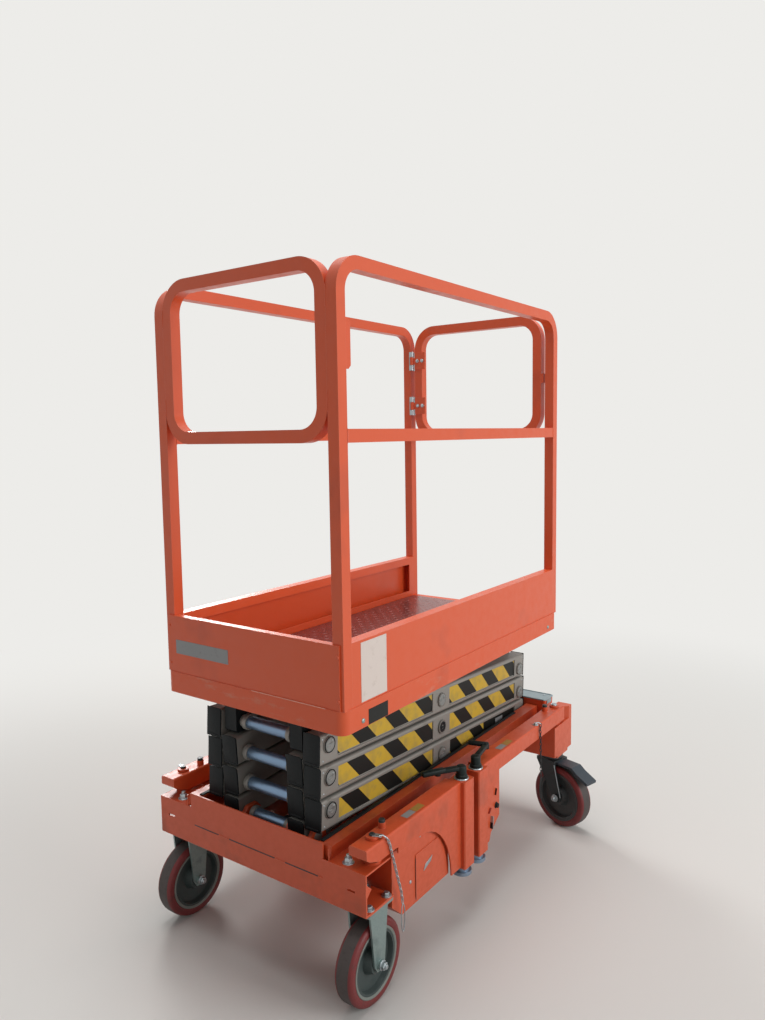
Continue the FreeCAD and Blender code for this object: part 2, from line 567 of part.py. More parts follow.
def fork_leg(x, top, low_half, side):
    """Tapered leg of a fork beside the wheel, with the axle's boss and half of the axle."""
    s = side
    outline = [top[0], top[1], (x + low_half, WHEEL_R + 2), (x + 10, WHEEL_R - 15), (x - 10, WHEEL_R - 15),
               (x - low_half - 1, WHEEL_R + 2)]
    y0, y1 = sorted((s * (FORK_Y - FORK_PLATE / 2), s * (FORK_Y + FORK_PLATE / 2)))
    return [prism(outline, "xz", y0, y1),
            rod(11, (x, s * (FORK_Y + 2), WHEEL_R), (x, s * (FORK_Y + 9), WHEEL_R)),
            rod(AXLE_R, (x, 0, WHEEL_R), (x, s * (FORK_Y + 3), WHEEL_R))]


def rigid_fork(side):
    top = BEAM_Z0 - PLATE
    parts = [box(-46, 46, -40, 40, top - 6, top)]
    for s in (-1, 1):
        parts += fork_leg(0, ((-34, top - 4), (34, top - 4)), 19, s)
    fork = fuse(parts)
    fork.translate(V(-CASTOR_X, side * CASTOR_Y, 0))
    return fork


def swivel_parts(side):
    """Swivel castor in its rest turn: fork with axle, pedal, tyre and hub."""
    heading = math.degrees(math.atan2(-side * TRAIL_DIR[1], TRAIL_DIR[0]))
    c = CROWN_Z
    parts = [rod(38, (0, 0, c + 18), (0, 0, c + 25.7)), rod(10, (0, 0, c + 22), (0, 0, c + 36)),
             rod(30, (0, 0, c + 10), (0, 0, c + 19)), box(-34, 40, -33.5, 33.5, c, c + 11)]
    for s in (-1, 1):
        parts += fork_leg(TRAIL, ((-34, c + 2), (40, c + 2)), 18, s)
    pedal = [(40, c + 8), (TRAIL + 54, c + 8), (TRAIL + 74, c - 6), (TRAIL + 116, c - 26),
             (TRAIL + 114, c - 34), (TRAIL + 68, c - 16), (TRAIL + 50, c), (40, c + 1)]
    tyre, hub = wheel(TRAIL, 0)
    out = []
    for shape in (fuse(parts), prism(pedal, "xz", -24, 24), tyre, hub):
        shape.rotate(V(0, 0, 0), V(0, 0, 1), heading)
        shape.translate(V(CASTOR_X, side * CASTOR_Y, 0))
        out.append(shape)
    return out


# Outriggers
def gusset_outline(end, jack):
    """Outline of the plate between an arm's tube and its jack sleeve."""
    top, low, edge = ARM_TUBE_Z[0] + 20, SLEEVE_Z0 + 5, jack - SLEEVE / 2 + 1
    if end == "far":
        inner = jack + SLEEVE / 2 - 1
        return [(56, top), (56, SLEEVE_Z0 + 59), (6, SLEEVE_Z0 + 28), (-4, low), (inner, low), (inner, top)]
    start, wide, high = NEAR_PIVOT + SWING_CLEAR, edge - 50 + 357, BEAM_Z1 - 6 - low
    turns = [math.radians(u) for u in range(0, 91, 10)]
    arc = [(-357 + wide * math.sin(u), low + high * math.cos(u)) for u in turns]
    return [(start, top), (start, BEAM_Z1 - 6)] + arc + [(edge, low), (edge, top)]


def outrigger(end, side):
    """Swinging arm with its jack sleeve and gusset, on the +Y side, then mirrored."""
    (y0, y1), (z0, z1), t, h = ARM_TUBE_Y, ARM_TUBE_Z, ARM_TUBE_WALL, SLEEVE / 2
    near = end == "near"
    pivot, jack, toward = (NEAR_PIVOT, NEAR_JACK, 1) if near else (FAR_PIVOT, FAR_JACK, -1)
    xa, xb = (pivot - 54, jack - h + 1) if near else (jack + h - 1, pivot + 26)
    tube = rounded(box(xa, xb, y0, y1, z0, z1), 5.0, (1, 0, 0))
    tube = tube.cut(box(xa + t * near, xb + 1, y0 + t, y1 - t, z0 + t, z1 - t))
    if near:
        tail = [(xa - 1, z0 - 1), (xa - 1, z1 - 22), (xa + 12, z0 + 17), (xa + 58, z0 - 1)]
        tube = tube.cut(prism(tail, "xz", y0 - 1, y1 + 1))
    sleeve = bevelled(box(jack - h, jack + h, JACK_Y - h, JACK_Y + h, SLEEVE_Z0, z1), 3.0, (0, 0, 1))
    cavity = box(jack - h + t, jack + h - t, JACK_Y - h + t, JACK_Y + h - t, SLEEVE_Z0 + 8, z1 - 8)
    bore = rod(SCREW_R + 0.08, (jack, JACK_Y, SLEEVE_Z0 - 1), (jack, JACK_Y, SLEEVE_Z0 + 9))
    x = pivot + toward * 52
    adds = [sleeve.cut(cavity), rod(17, (jack, JACK_Y, z1 - 1), (jack, JACK_Y, z1 + 3)),
            prism(gusset_outline(end, jack), "xz", y1 - 4, y1),
            rod(18, (pivot, PIVOT_Y, z0), (pivot, PIVOT_Y, z1)),
            rod(9, (x, PIVOT_Y - 10, z1 - 1), (x, PIVOT_Y - 10, z1 + 14))]
    arm = fuse([tube.cut(box(jack - h + t, jack + h - t, y0, y1, z0, z1))] + adds)
    arm = arm.cut(bore).cut(rod(PIVOT_R + 0.1, (pivot, PIVOT_Y, z0 - 1), (pivot, PIVOT_Y, z1 + 1)))
    return mirror(arm) if side < 0 else arm


def jack_screw(end, side):
    """Screw of an outrigger jack with its round foot, inside the sleeve for most of its length."""
    x, y = (NEAR_JACK if end == "near" else FAR_JACK), JACK_Y
    top = ARM_TUBE_Z[1] - 12
    part = fuse([rod(SCREW_R, (x, y, FOOT_Z + 7), (x, y, top - 2)), rod(15, (x, y, top - 14), (x, y, top)),
                 rod(26, (x, y, FOOT_Z), (x, y, FOOT_Z + 9)),
                 rod(19, (x, y, FOOT_Z + 8), (x, y, FOOT_Z + 20))])
    return mirror(part) if side < 0 else part


def crank(end, side):
    """Handle on top of a jack sleeve: hub, bar, knuckle and grip."""
    x, y = (NEAR_JACK if end == "near" else FAR_JACK), JACK_Y
    z = ARM_TUBE_Z[1] + 3
    tip, grip_end = (x + 55, y - 12), (x + 92, y - 18)
    if end == "near":
        tip, grip_end = (x - 62, y - 44), (x - 100, y - 60)
    part = fuse([rod(16, (x, y, z), (x, y, z + 8)), rod(13, (x, y, z + 7), (x, y, z + 32)),
                 rod(6.5, (x, y, z + 22), (*tip, z + 26)), rod(8.5, (*tip, z + 17), (*tip, z + 36)),
                 rod(8, (*tip, z + 26), (*grip_end, z + 30))])
    return mirror(part) if side < 0 else part


def build():
    nodes = {}
    for stage in (1, 2, 3):
        nodes[f"inner_arms_{stage}"] = scissor_arms(stage, False)
        nodes[f"outer_arms_{stage}"] = scissor_arms(stage, True)
        nodes[f"inner_caps_{stage}"] = arm_caps(stage, False)
        nodes[f"outer_caps_{stage}"] = arm_caps(stage, True)
    nodes["cylinder_barrel"], nodes["cylinder_rod"] = cylinder_parts()
    for make in (deck_frame, deck_tracks, deck_lugs, deck_plate, toe_boards, end_loop, gate_frame,
                 gate_hinges, near_beam, far_beam, base_rails, base_floor, side_cabinets, power_box,
                 power_box_lid, battery_block):
        nodes[make.__name__] = make()
    for side, tag in ((-1, "right"), (1, "left")):
        nodes[f"side_rail_{tag}"] = side_rail(side)
        nodes[f"rigid_fork_{tag}"] = rigid_fork(side)
        nodes[f"tyre_near_{tag}"], nodes[f"hub_near_{tag}"] = wheel(-CASTOR_X, side * CASTOR_Y)
        for name, shape in zip(("swivel_fork", "brake_pedal", "tyre_far", "hub_far"), swivel_parts(side)):
            nodes[f"{name}_{tag}"] = shape
        for end in ("near", "far"):
            nodes[f"outrigger_{end}_{tag}"] = outrigger(end, side)
            nodes[f"jack_screw_{end}_{tag}"] = jack_screw(end, side)
            nodes[f"crank_{end}_{tag}"] = crank(end, side)
    return nodes


for name, shape in build().items():
    shape.exportStep(f"parts/{name}.step")
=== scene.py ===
import logging
import math
from dataclasses import dataclass
from enum import Enum
from typing import Any, Iterable, Sequence

import bmesh
import bpy
from mathutils import Matrix, Vector


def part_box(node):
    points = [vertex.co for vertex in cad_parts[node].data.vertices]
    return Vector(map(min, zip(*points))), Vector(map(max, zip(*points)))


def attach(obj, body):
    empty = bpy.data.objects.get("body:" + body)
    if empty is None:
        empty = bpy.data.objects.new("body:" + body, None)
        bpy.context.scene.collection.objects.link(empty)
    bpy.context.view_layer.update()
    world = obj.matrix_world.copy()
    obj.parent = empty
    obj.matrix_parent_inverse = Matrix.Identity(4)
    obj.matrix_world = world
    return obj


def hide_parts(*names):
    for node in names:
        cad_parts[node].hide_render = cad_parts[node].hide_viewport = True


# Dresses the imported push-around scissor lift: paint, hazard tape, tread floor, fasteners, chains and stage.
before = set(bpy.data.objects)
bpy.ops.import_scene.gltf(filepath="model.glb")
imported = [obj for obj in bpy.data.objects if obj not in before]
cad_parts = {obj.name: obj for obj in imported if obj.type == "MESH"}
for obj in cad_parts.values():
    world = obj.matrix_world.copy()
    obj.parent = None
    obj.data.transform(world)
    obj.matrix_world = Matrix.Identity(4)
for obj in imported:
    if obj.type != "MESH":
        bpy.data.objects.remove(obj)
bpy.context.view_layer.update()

LOG = logging.getLogger("scissor_lift")
MM = 0.001
DIRT_FROM, DIRT_FULL = 0.55, 0.05     # metres over the ground, where road dirt starts and is thickest
BEVEL_SAMPLES = 4
NOISE_ROUGHNESS = 0.6
SMOOTH_BELOW = math.radians(35.0)     # faces that meet at less shade smooth

Point = Sequence[float]
Triple = tuple[float, float, float]
Colour = tuple[float, float, float, float]
Tree = bpy.types.NodeTree
Socket = bpy.types.NodeSocket


def linear(hex_colour: str) -> Colour:
    """Turns an sRGB hex colour to Blender's linear colour.

    Args:
        hex_colour: six hex digits with a leading hash.

    Returns:
        Linear red, green and blue with full opacity.
    """
    parts = [int(hex_colour[i:i + 2], 16) / 255 for i in (1, 3, 5)]
    red, green, blue = (p / 12.92 if p <= 0.04045 else ((p + 0.055) / 1.055) ** 2.4 for p in parts)
    return red, green, blue, 1.0


def node(tree: Tree, kind: str, settings: dict[str, Any] | None = None, inputs: dict[Any, Any] | None = None,
         stops: Sequence[tuple[float, Colour]] = ()) -> bpy.types.Node:
    """Adds one node to a tree with its settings, values and links.

    Args:
        tree: the tree that gets the node.
        kind: Blender's node type name.
        settings: attributes to set on the node.
        inputs: socket name or number to a value, or to the socket that feeds it.
        stops: a colour ramp's places from 0 to 1 with their colours, two or more.

    Returns:
        The new node.
    """
    made = tree.nodes.new(kind)
    for name, value in (settings or {}).items():
        setattr(made, name, value)
    for name, value in (inputs or {}).items():
        if isinstance(value, Socket):
            tree.links.new(value, made.inputs[name])
        else:
            made.inputs[name].default_value = value
    for place, _ in stops[1:-1]:
        made.color_ramp.elements.new(place)
    for k, (place, colour) in enumerate(stops):
        made.color_ramp.elements[k].position = place
        made.color_ramp.elements[k].color = colour
    return made


def blank_material(name: str) -> tuple[bpy.types.Material, Tree]:
    """Adds a material with an empty node tree.

    Args:
        name: the material's name.

    Returns:
        The material and its tree.
    """
    material = bpy.data.materials.new(name)
    material.use_nodes = True
    material.node_tree.nodes.clear()
    return material, material.node_tree


class Slot(Enum):
    """Material slot names, one class of material each."""

    ORANGE_PAINT = "orange_paint"
    DECK_STEEL = "deck_steel"
    ARM_GREY = "arm_grey"
    ZINC_STEEL = "zinc_steel"
    DARK_STEEL = "dark_steel"
    BLACK_PLASTIC = "black_plastic"
    TREAD_RED = "tread_red"
    HUB_GREY = "hub_grey"
    LID_GREY = "lid_grey"
    HAZARD_YELLOW = "hazard_yellow"


@dataclass(frozen=True)
class Finish:
    """A real surface: its colours, gloss and relief, and the drift, dirt and wear that break them up.

    grain_mm is the size of the fine relief, stain_mm that of the colour drift and edge_mm the width of
    rubbed edges.
    """

    name: str
    colour: str
    worn: str
    dirt: str
    roughness: float
    slot: Slot = Slot.ZINC_STEEL
    metallic: float = 0.0
    coat: float = 0.0
    coat_roughness: float = 0.12
    grain_mm: float = 1.0
    grain_depth: float = 0.05
    stain_mm: float = 20.0
    stain: float = 0.4
    edge_mm: float = 2.0
    edge: float = 0.3
    low_dirt: float = 0.0
    scuff: float = 0.0
    specular: float = 0.5

    def build(self) -> bpy.types.Material:
        """Makes the material once and hands the same one back after that.

        Returns:
            The Blender material.
        """
        found = bpy.data.materials.get(self.name)
        if found:
            return found
        material, tree = blank_material(self.name)
        place = node(tree, "ShaderNodeTexCoord").outputs["Object"]
        colour, rough = self.paint(tree, place)
        shader = node(tree, "ShaderNodeBsdfPrincipled", inputs={
            "Base Color": colour, "Roughness": rough, "Normal": self.relief(tree, place)})
        shader.inputs["Metallic"].default_value = self.metallic
        shader.inputs["Specular IOR Level"].default_value = self.specular
        shader.inputs["Coat Weight"].default_value = self.coat
        shader.inputs["Coat Roughness"].default_value = self.coat_roughness
        node(tree, "ShaderNodeOutputMaterial", inputs={"Surface": shader.outputs["BSDF"]})
        return material

    def edges(self, tree: Tree) -> Socket:
        """How much a bevelled normal leaves the flat one, which is most along sharp edges.

        Args:
            tree: the material's tree.

        Returns:
            A number from 0 on flats to the finish's edge wear on edges.
        """
        soft = node(tree, "ShaderNodeBevel", {"samples": BEVEL_SAMPLES}, {"Radius": self.edge_mm * MM})
        flat = node(tree, "ShaderNodeNewGeometry").outputs["Normal"]
        dot = node(tree, "ShaderNodeVectorMath", {"operation": "DOT_PRODUCT"},
                   {0: soft.outputs["Normal"], 1: flat})
        return node(tree, "ShaderNodeMapRange", inputs={
            "Value": dot.outputs["Value"], "From Min": 0.995, "From Max": 0.80,
            "To Max": self.edge}).outputs["Result"]

    def paint(self, tree: Tree, place: Socket) -> tuple[Socket, Socket]:
        """Base colour with broad drift, road dirt, scrapes and rubbed edges, and the roughness with it.

        Args:
            tree: the material's tree.
            place: coordinates in metres.

        Returns:
            The colour socket and the roughness socket.
        """
        drift, fine = (node(tree, "ShaderNodeTexNoise", inputs={
            "Vector": place, "Scale": 1 / (size_mm * MM), "Detail": detail,
            "Roughness": NOISE_ROUGHNESS}).outputs["Fac"]
            for size_mm, detail in ((self.stain_mm, 3.0), (self.stain_mm / 9, 5.0)))
        plain, dirt, worn = (linear(c) for c in (self.colour, self.dirt, self.worn))
        cloudy = node(tree, "ShaderNodeValToRGB", inputs={"Fac": drift}, stops=[
            (0.30, dirt), (0.30 + 0.3 * self.stain, plain), (1.0, plain)]).outputs["Color"]
        layers: list[tuple[Any, Any]] = [(self.stain, cloudy)]
        if self.low_dirt:
            height = node(tree, "ShaderNodeSeparateXYZ", inputs={"Vector": place}).outputs["Z"]
            low = node(tree, "ShaderNodeMapRange", inputs={
                "Value": height, "From Min": DIRT_FROM, "From Max": DIRT_FULL, "To Max": self.low_dirt})
            patchy = node(tree, "ShaderNodeMath", {"operation": "MULTIPLY"},
                          {0: low.outputs["Result"], 1: fine})
            layers.append((patchy.outputs[0], dirt))
        if self.scuff:
            # long dry scrapes, as loads leave them when they slide past
            drawn = node(tree, "ShaderNodeMapping", inputs={"Vector": place, "Scale": (1.0, 1.0, 3.2)})
            patch = node(tree, "ShaderNodeTexNoise", inputs={
                "Vector": drawn.outputs["Vector"], "Scale": 5.0, "Detail": 9.0, "Roughness": 0.72})
            scraped = node(tree, "ShaderNodeMapRange", inputs={
                "Value": patch.outputs["Fac"], "From Min": 0.56, "From Max": 0.66, "To Max": self.scuff})
            layers.append((scraped.outputs["Result"], worn))
        chips = node(tree, "ShaderNodeMath", {"operation": "MULTIPLY"}, {0: self.edges(tree), 1: fine})
        layers.append((chips.outputs[0], worn))
        colour: Any = plain
        for amount, over in layers:
            colour = node(tree, "ShaderNodeMix", {"data_type": "RGBA"}, {
                "Factor": amount, 6: colour, 7: over}).outputs[2]
        rough = node(tree, "ShaderNodeMapRange", inputs={
            "Value": fine, "From Min": 0.3, "From Max": 0.7,
            "To Min": max(0.04, self.roughness - 0.07), "To Max": min(1.0, self.roughness + 0.09)})
        return colour, rough.outputs["Result"]

    def relief(self, tree: Tree, place: Socket) -> Socket:
        """Fine grain over a slightly rounded edge.

        Args:
            tree: the material's tree.
            place: coordinates in metres.

        Returns:
            The normal socket.
        """
        soft = node(tree, "ShaderNodeBevel", {"samples": BEVEL_SAMPLES}, {"Radius": 0.8 * MM})
        grain = node(tree, "ShaderNodeTexNoise", inputs={
            "Vector": place, "Scale": 1 / (self.grain_mm * MM), "Detail": 2.0, "Roughness": NOISE_ROUGHNESS})
        return node(tree, "ShaderNodeBump", inputs={
            "Strength": self.grain_depth, "Distance": self.grain_mm * MM, "Height": grain.outputs["Fac"],
            "Normal": soft.outputs["Normal"]}).outputs["Normal"]


# Polyester powder coat over steel: even colour with faint orange peel, rubbed pale along folds.
ORANGE = Finish("orange_powder_coat", "#D9562A", "#F0937A", "#A8442A", 0.38, Slot.ORANGE_PAINT, coat=0.08,
                grain_mm=3.0, stain_mm=260, stain=0.30, edge=0.55, low_dirt=0.35)
# The same coat on the skirt, which loads scrape along.
ORANGE_SKIRT = Finish("orange_powder_coat_scraped", "#D9562A", "#CE8A72", "#A8442A", 0.42,
                      Slot.ORANGE_PAINT, coat=0.05, grain_mm=3.0, grain_depth=0.06, stain_mm=200,
                      stain=0.35, edge=0.8, scuff=0.55)
# The same coat where it is scuffed by boots and road dirt.
ORANGE_BASE = Finish("orange_powder_coat_base", "#D35229", "#E88C6E", "#8A4028", 0.42, Slot.ORANGE_PAINT,
                     coat=0.05, grain_mm=3.0, grain_depth=0.06, stain_mm=150, stain=0.42, edge=0.75,
                     low_dirt=0.7)
# Grey satin enamel on rolled tube: dull, slightly warm, with rolling marks.
ARM_GREY = Finish("grey_satin_enamel", "#8D8A84", "#BFBDB7", "#6A665E", 0.44, Slot.ARM_GREY, metallic=0.15,
                  grain_mm=1.6, stain_mm=120, stain=0.35, edge=0.7)
# Zinc plate with blue passivation: soft grey metal with a cool cast.
ZINC = Finish("blue_passivated_zinc", "#A9B2B6", "#D3D8DA", "#7C8688", 0.34, metallic=0.85, grain_mm=1.2,
              grain_depth=0.04, stain_mm=30, stain=0.35)
# Heavy zinc on the castor forks, weathered to a greenish grey.
FORK_ZINC = Finish("weathered_zinc_fork", "#93A6A4", "#BAC6C4", "#647270", 0.42, metallic=0.65,
                   grain_mm=1.5, grain_depth=0.06, stain_mm=40, stain=0.45, edge=0.5, low_dirt=0.6)
# The gate end's forks: the same zinc darkened with painted shade, nearly black.
FORK_DARK = Finish("zinc_fork_painted_shade", "#3C4244", "#8A9192", "#26292A", 0.42, metallic=0.5, grain_mm=1.5,
                   grain_depth=0.06, stain_mm=40, stain=0.45, edge=0.6, low_dirt=0.4)
# Glass-filled nylon brake pedal, slate blue.
PEDAL = Finish("moulded_nylon_pedal", "#2F3A44", "#5C6770", "#22282D", 0.45, Slot.DARK_STEEL,
               grain_depth=0.06, stain_mm=35, stain=0.3, edge=0.5, low_dirt=0.3)
# Zinc-plated jack screws and feet with a blue cast.
JACK_FOOT = Finish("blue_zinc_jack_foot", "#8395A8", "#B7C4CF", "#5A6874", 0.36, metallic=0.6, grain_mm=1.2,
                   stain_mm=25, edge=0.4)
# Ground steel shafts, cool and bright: their blue is a painted reflection of the sky.
SHAFT = Finish("ground_steel_shaft", "#7F98B4", "#B6C6D6", "#52667E", 0.36, metallic=0.75, grain_mm=0.8,
               grain_depth=0.02, stain_mm=25, stain=0.3, edge=0.2)
# Black phosphated steel of pedals and small fittings.
BLACK_STEEL = Finish("black_phosphate_steel", "#2B2E30", "#6A6D6E", "#1B1D1E", 0.45, Slot.DARK_STEEL,
                     metallic=0.4, stain_mm=40, stain=0.3, edge=0.6, low_dirt=0.5)
# Injection-moulded polyethylene plugs: matt, finely sparked surface.
BLACK_PLASTIC = Finish("moulded_black_polyethylene", "#14181A", "#3C4143", "#202426", 0.5,
                       Slot.BLACK_PLASTIC, grain_mm=0.9, grain_depth=0.10, stain_mm=25, stain=0.3,
                       specular=0.2)
# Dipped vinyl grips on the crank handles, slightly glossy.
VINYL_GRIP = Finish("dipped_vinyl_grip", "#15201F", "#3B4644", "#202827", 0.38, Slot.DARK_STEEL,
                    grain_mm=2.5, stain_mm=30, stain=0.2, edge=0.2, specular=0.2)
# Face-plated pin heads: dull zinc under the same satin enamel as the arms.
PIN_HEAD = Finish("enamelled_pin_head", "#8B8E8C", "#B4B7B5", "#686B69", 0.45, metallic=0.45, grain_mm=1.2,
                  grain_depth=0.04, edge=0.5)
# Pale orange powder coat as a painted highlight: the light caught along the skirt's ledge.
SKIRT_LEDGE_HIGHLIGHT = Finish("painted_highlight_powder_coat", "#F2B39C", "#F8D2C4", "#DE7A58", 0.45, Slot.ORANGE_PAINT,
                     stain_mm=14, stain=0.6)
# Cast polyurethane tread: oxblood on the side wall.
TREAD = Finish("cast_polyurethane_tread", "#7A2023", "#9A4C46", "#4A2C28", 0.5, Slot.TREAD_RED,
               grain_mm=2.0, grain_depth=0.12, stain_mm=25, stain=0.5, low_dirt=0.6)
# The same polyurethane where it rolls: dark grey with painted shade, as the rolling face turns from the light.
TREAD_BAND_SHADE = Finish("polyurethane_band_painted_shade", "#49403E", "#6E5F5A", "#322B2A", 0.62, Slot.TREAD_RED,
                    grain_mm=2.5, grain_depth=0.16, stain_mm=18, stain=0.6, edge=0.2, low_dirt=0.4)
# Glass-filled nylon wheel centre of the rigid castors, greenish grey.
NYLON_GREY = Finish("glass_filled_nylon_hub_grey", "#3C4746", "#687372", "#303938", 0.5, Slot.HUB_GREY,
                    grain_mm=0.8, grain_depth=0.08, stain=0.35, low_dirt=0.5)
# The lip of those wheel centres, polished pale by kerbs.
NYLON_LIP = Finish("polished_nylon_lip", "#7C827C", "#A0A59E", "#5A605B", 0.42, Slot.HUB_GREY, grain_mm=0.8,
                   grain_depth=0.06, stain=0.35, low_dirt=0.3)
# Glass-filled nylon wheel centre of the swivel castors, dark grey.
NYLON = Finish("glass_filled_nylon_hub", "#33373A", "#5F6467", "#4A4A46", 0.5, Slot.HUB_GREY, grain_mm=0.8,
               grain_depth=0.08, stain=0.35, low_dirt=0.6)
# Galvanised lid sheet, grey with a cloudy spangle; its cool blue cast is a painted reflection of the sky.
LID = Finish("galvanised_lid_sheet", "#93A3A8", "#C2CCCF", "#75838A", 0.35, Slot.LID_GREY, metallic=0.5,
             grain_mm=6.0, grain_depth=0.02, stain_mm=18)
# Rolled aluminium tread plate, bright on the bars and dull between them; its pink-red tint is a painted reflection
# of the orange toe boards.
TREAD_PLATE = Finish("aluminium_tread_plate_painted_reflection", "#965E5B", "#AE8C92", "#744A46", 0.30, Slot.DECK_STEEL,
                     metallic=0.8, grain_mm=1.2, grain_depth=0.04, stain_mm=70, stain=0.5, edge=0.1)
# Plain vinyl label stock: off-white, black and grey, with no print.
LABEL_WHITE = Finish("blank_vinyl_label_white", "#D9CCC4", "#EFE8E2", "#B9A79C", 0.42, Slot.ORANGE_PAINT,
                     grain_depth=0.02, stain_mm=25, edge=0.0)
LABEL_BLACK = Finish("blank_vinyl_label_black", "#1D1E1C", "#4D4E4B", "#2B2C29", 0.35, Slot.BLACK_PLASTIC,
                     grain_depth=0.02, stain_mm=25, stain=0.2, edge=0.0, specular=0.2)
LABEL_GREY = Finish("blank_vinyl_label_grey", "#8E8F90", "#B5B6B6", "#6E6B66", 0.4, Slot.ARM_GREY,
                    grain_depth=0.02, edge=0.0)
LABEL_YELLOW = Finish("blank_vinyl_label_yellow", "#A5803A", "#C9AC6A", "#7A5A34", 0.45, Slot.ARM_GREY,
                      grain_depth=0.02, stain=0.5, edge=0.0)
# Hard chrome on the cylinder rod.
CHROME = Finish("hard_chrome_rod", "#D4D7DA", "#F0F2F4", "#A9ADB0", 0.08, metallic=1.0, grain_mm=0.5,
                grain_depth=0.005, stain_mm=60, stain=0.15, edge=0.1)
# Red vinyl of the small tag on the far gusset.
RED_MARK = Finish("red_vinyl_mark", "#8E2A22", "#B6584C", "#5E231D", 0.45, Slot.TREAD_RED, grain_depth=0.02,
                  edge=0.0)


@dataclass(frozen=True)
class HazardTape:
    """Reflective warning tape: yellow and black bars at 45 degrees, on the strip's own UV in metres."""

    name: str = "hazard_tape_vinyl"
    slot: Slot = Slot.HAZARD_YELLOW
    yellow: str = "#CDAA3A"
    black: str = "#121311"
    faded: str = "#B4994A"
    pitch_mm: float = 149.0
    bar_mm: float = 70.0
    roughness: float = 0.5
    specular: float = 0.25

    def build(self) -> bpy.types.Material:
        """Makes the striped material once.

        Returns:
            The Blender material.
        """
        found = bpy.data.materials.get(self.name)
        if found:
            return found
        material, tree = blank_material(self.name)
        uv = node(tree, "ShaderNodeTexCoord").outputs["UV"]
        parts = node(tree, "ShaderNodeSeparateXYZ", inputs={"Vector": uv})
        # the bars lean back like a backslash, 45 degrees from the tape's length
        along = node(tree, "ShaderNodeMath", {"operation": "ADD"},
                     {0: parts.outputs["X"], 1: parts.outputs["Y"]})
        turn = node(tree, "ShaderNodeMath", {"operation": "DIVIDE"},
                    {0: along.outputs[0], 1: self.pitch_mm * MM})
        part = node(tree, "ShaderNodeMath", {"operation": "FRACT"}, {0: turn.outputs[0]})
        bar = node(tree, "ShaderNodeMath", {"operation": "LESS_THAN"},
                   {0: part.outputs[0], 1: self.bar_mm / self.pitch_mm})
        blotch = node(tree, "ShaderNodeTexNoise", inputs={"Vector": uv, "Scale": 28.0, "Detail": 4.0})
        yellow = node(tree, "ShaderNodeValToRGB", inputs={"Fac": blotch.outputs["Fac"]}, stops=[
            (0.35, linear(self.faded)), (0.55, linear(self.yellow)), (1.0, linear(self.yellow))])
        colour = node(tree, "ShaderNodeMix", {"data_type": "RGBA"},
                      {"Factor": bar.outputs[0], 6: yellow.outputs["Color"],
                       7: linear(self.black)}).outputs[2]
        fine = node(tree, "ShaderNodeTexNoise", inputs={"Vector": uv, "Scale": 900.0, "Detail": 2.0})
        bump = node(tree, "ShaderNodeBump", inputs={
            "Strength": 0.05, "Distance": 0.5 * MM, "Height": fine.outputs["Fac"]})
        shader = node(tree, "ShaderNodeBsdfPrincipled", inputs={
            "Base Color": colour, "Normal": bump.outputs["Normal"]})
        shader.inputs["Roughness"].default_value = self.roughness
        shader.inputs["Specular IOR Level"].default_value = self.specular
        node(tree, "ShaderNodeOutputMaterial", inputs={"Surface": shader.outputs["BSDF"]})
        return material


HAZARD = HazardTape()


def oval(centre: Point, long: Vector, short: Vector, steps: int) -> list[Vector]:
    """Points round an oval.

    Args:
        centre: its middle.
        long: from the middle to the first point.
        short: from the middle to the point a quarter turn on.
        steps: how many points.

    Returns:
        The points in order.
    """
    return [Vector(centre) + long * math.cos(a) + short * math.sin(a)
            for a in (2 * math.pi * k / steps for k in range(steps))]


def circle(centre: Point, axis: Point, radius: float, steps: int) -> list[Vector]:
    """Points round a circle.

    Args:
        centre: its middle.
        axis: the direction it is turned about.
        radius: its radius.
        steps: how many points.

    Returns:
        The points in order.
    """
    along = Vector(axis).normalized()
    side = along.orthogonal().normalized()
    return oval(centre, side * radius, along.cross(side) * radius, steps)


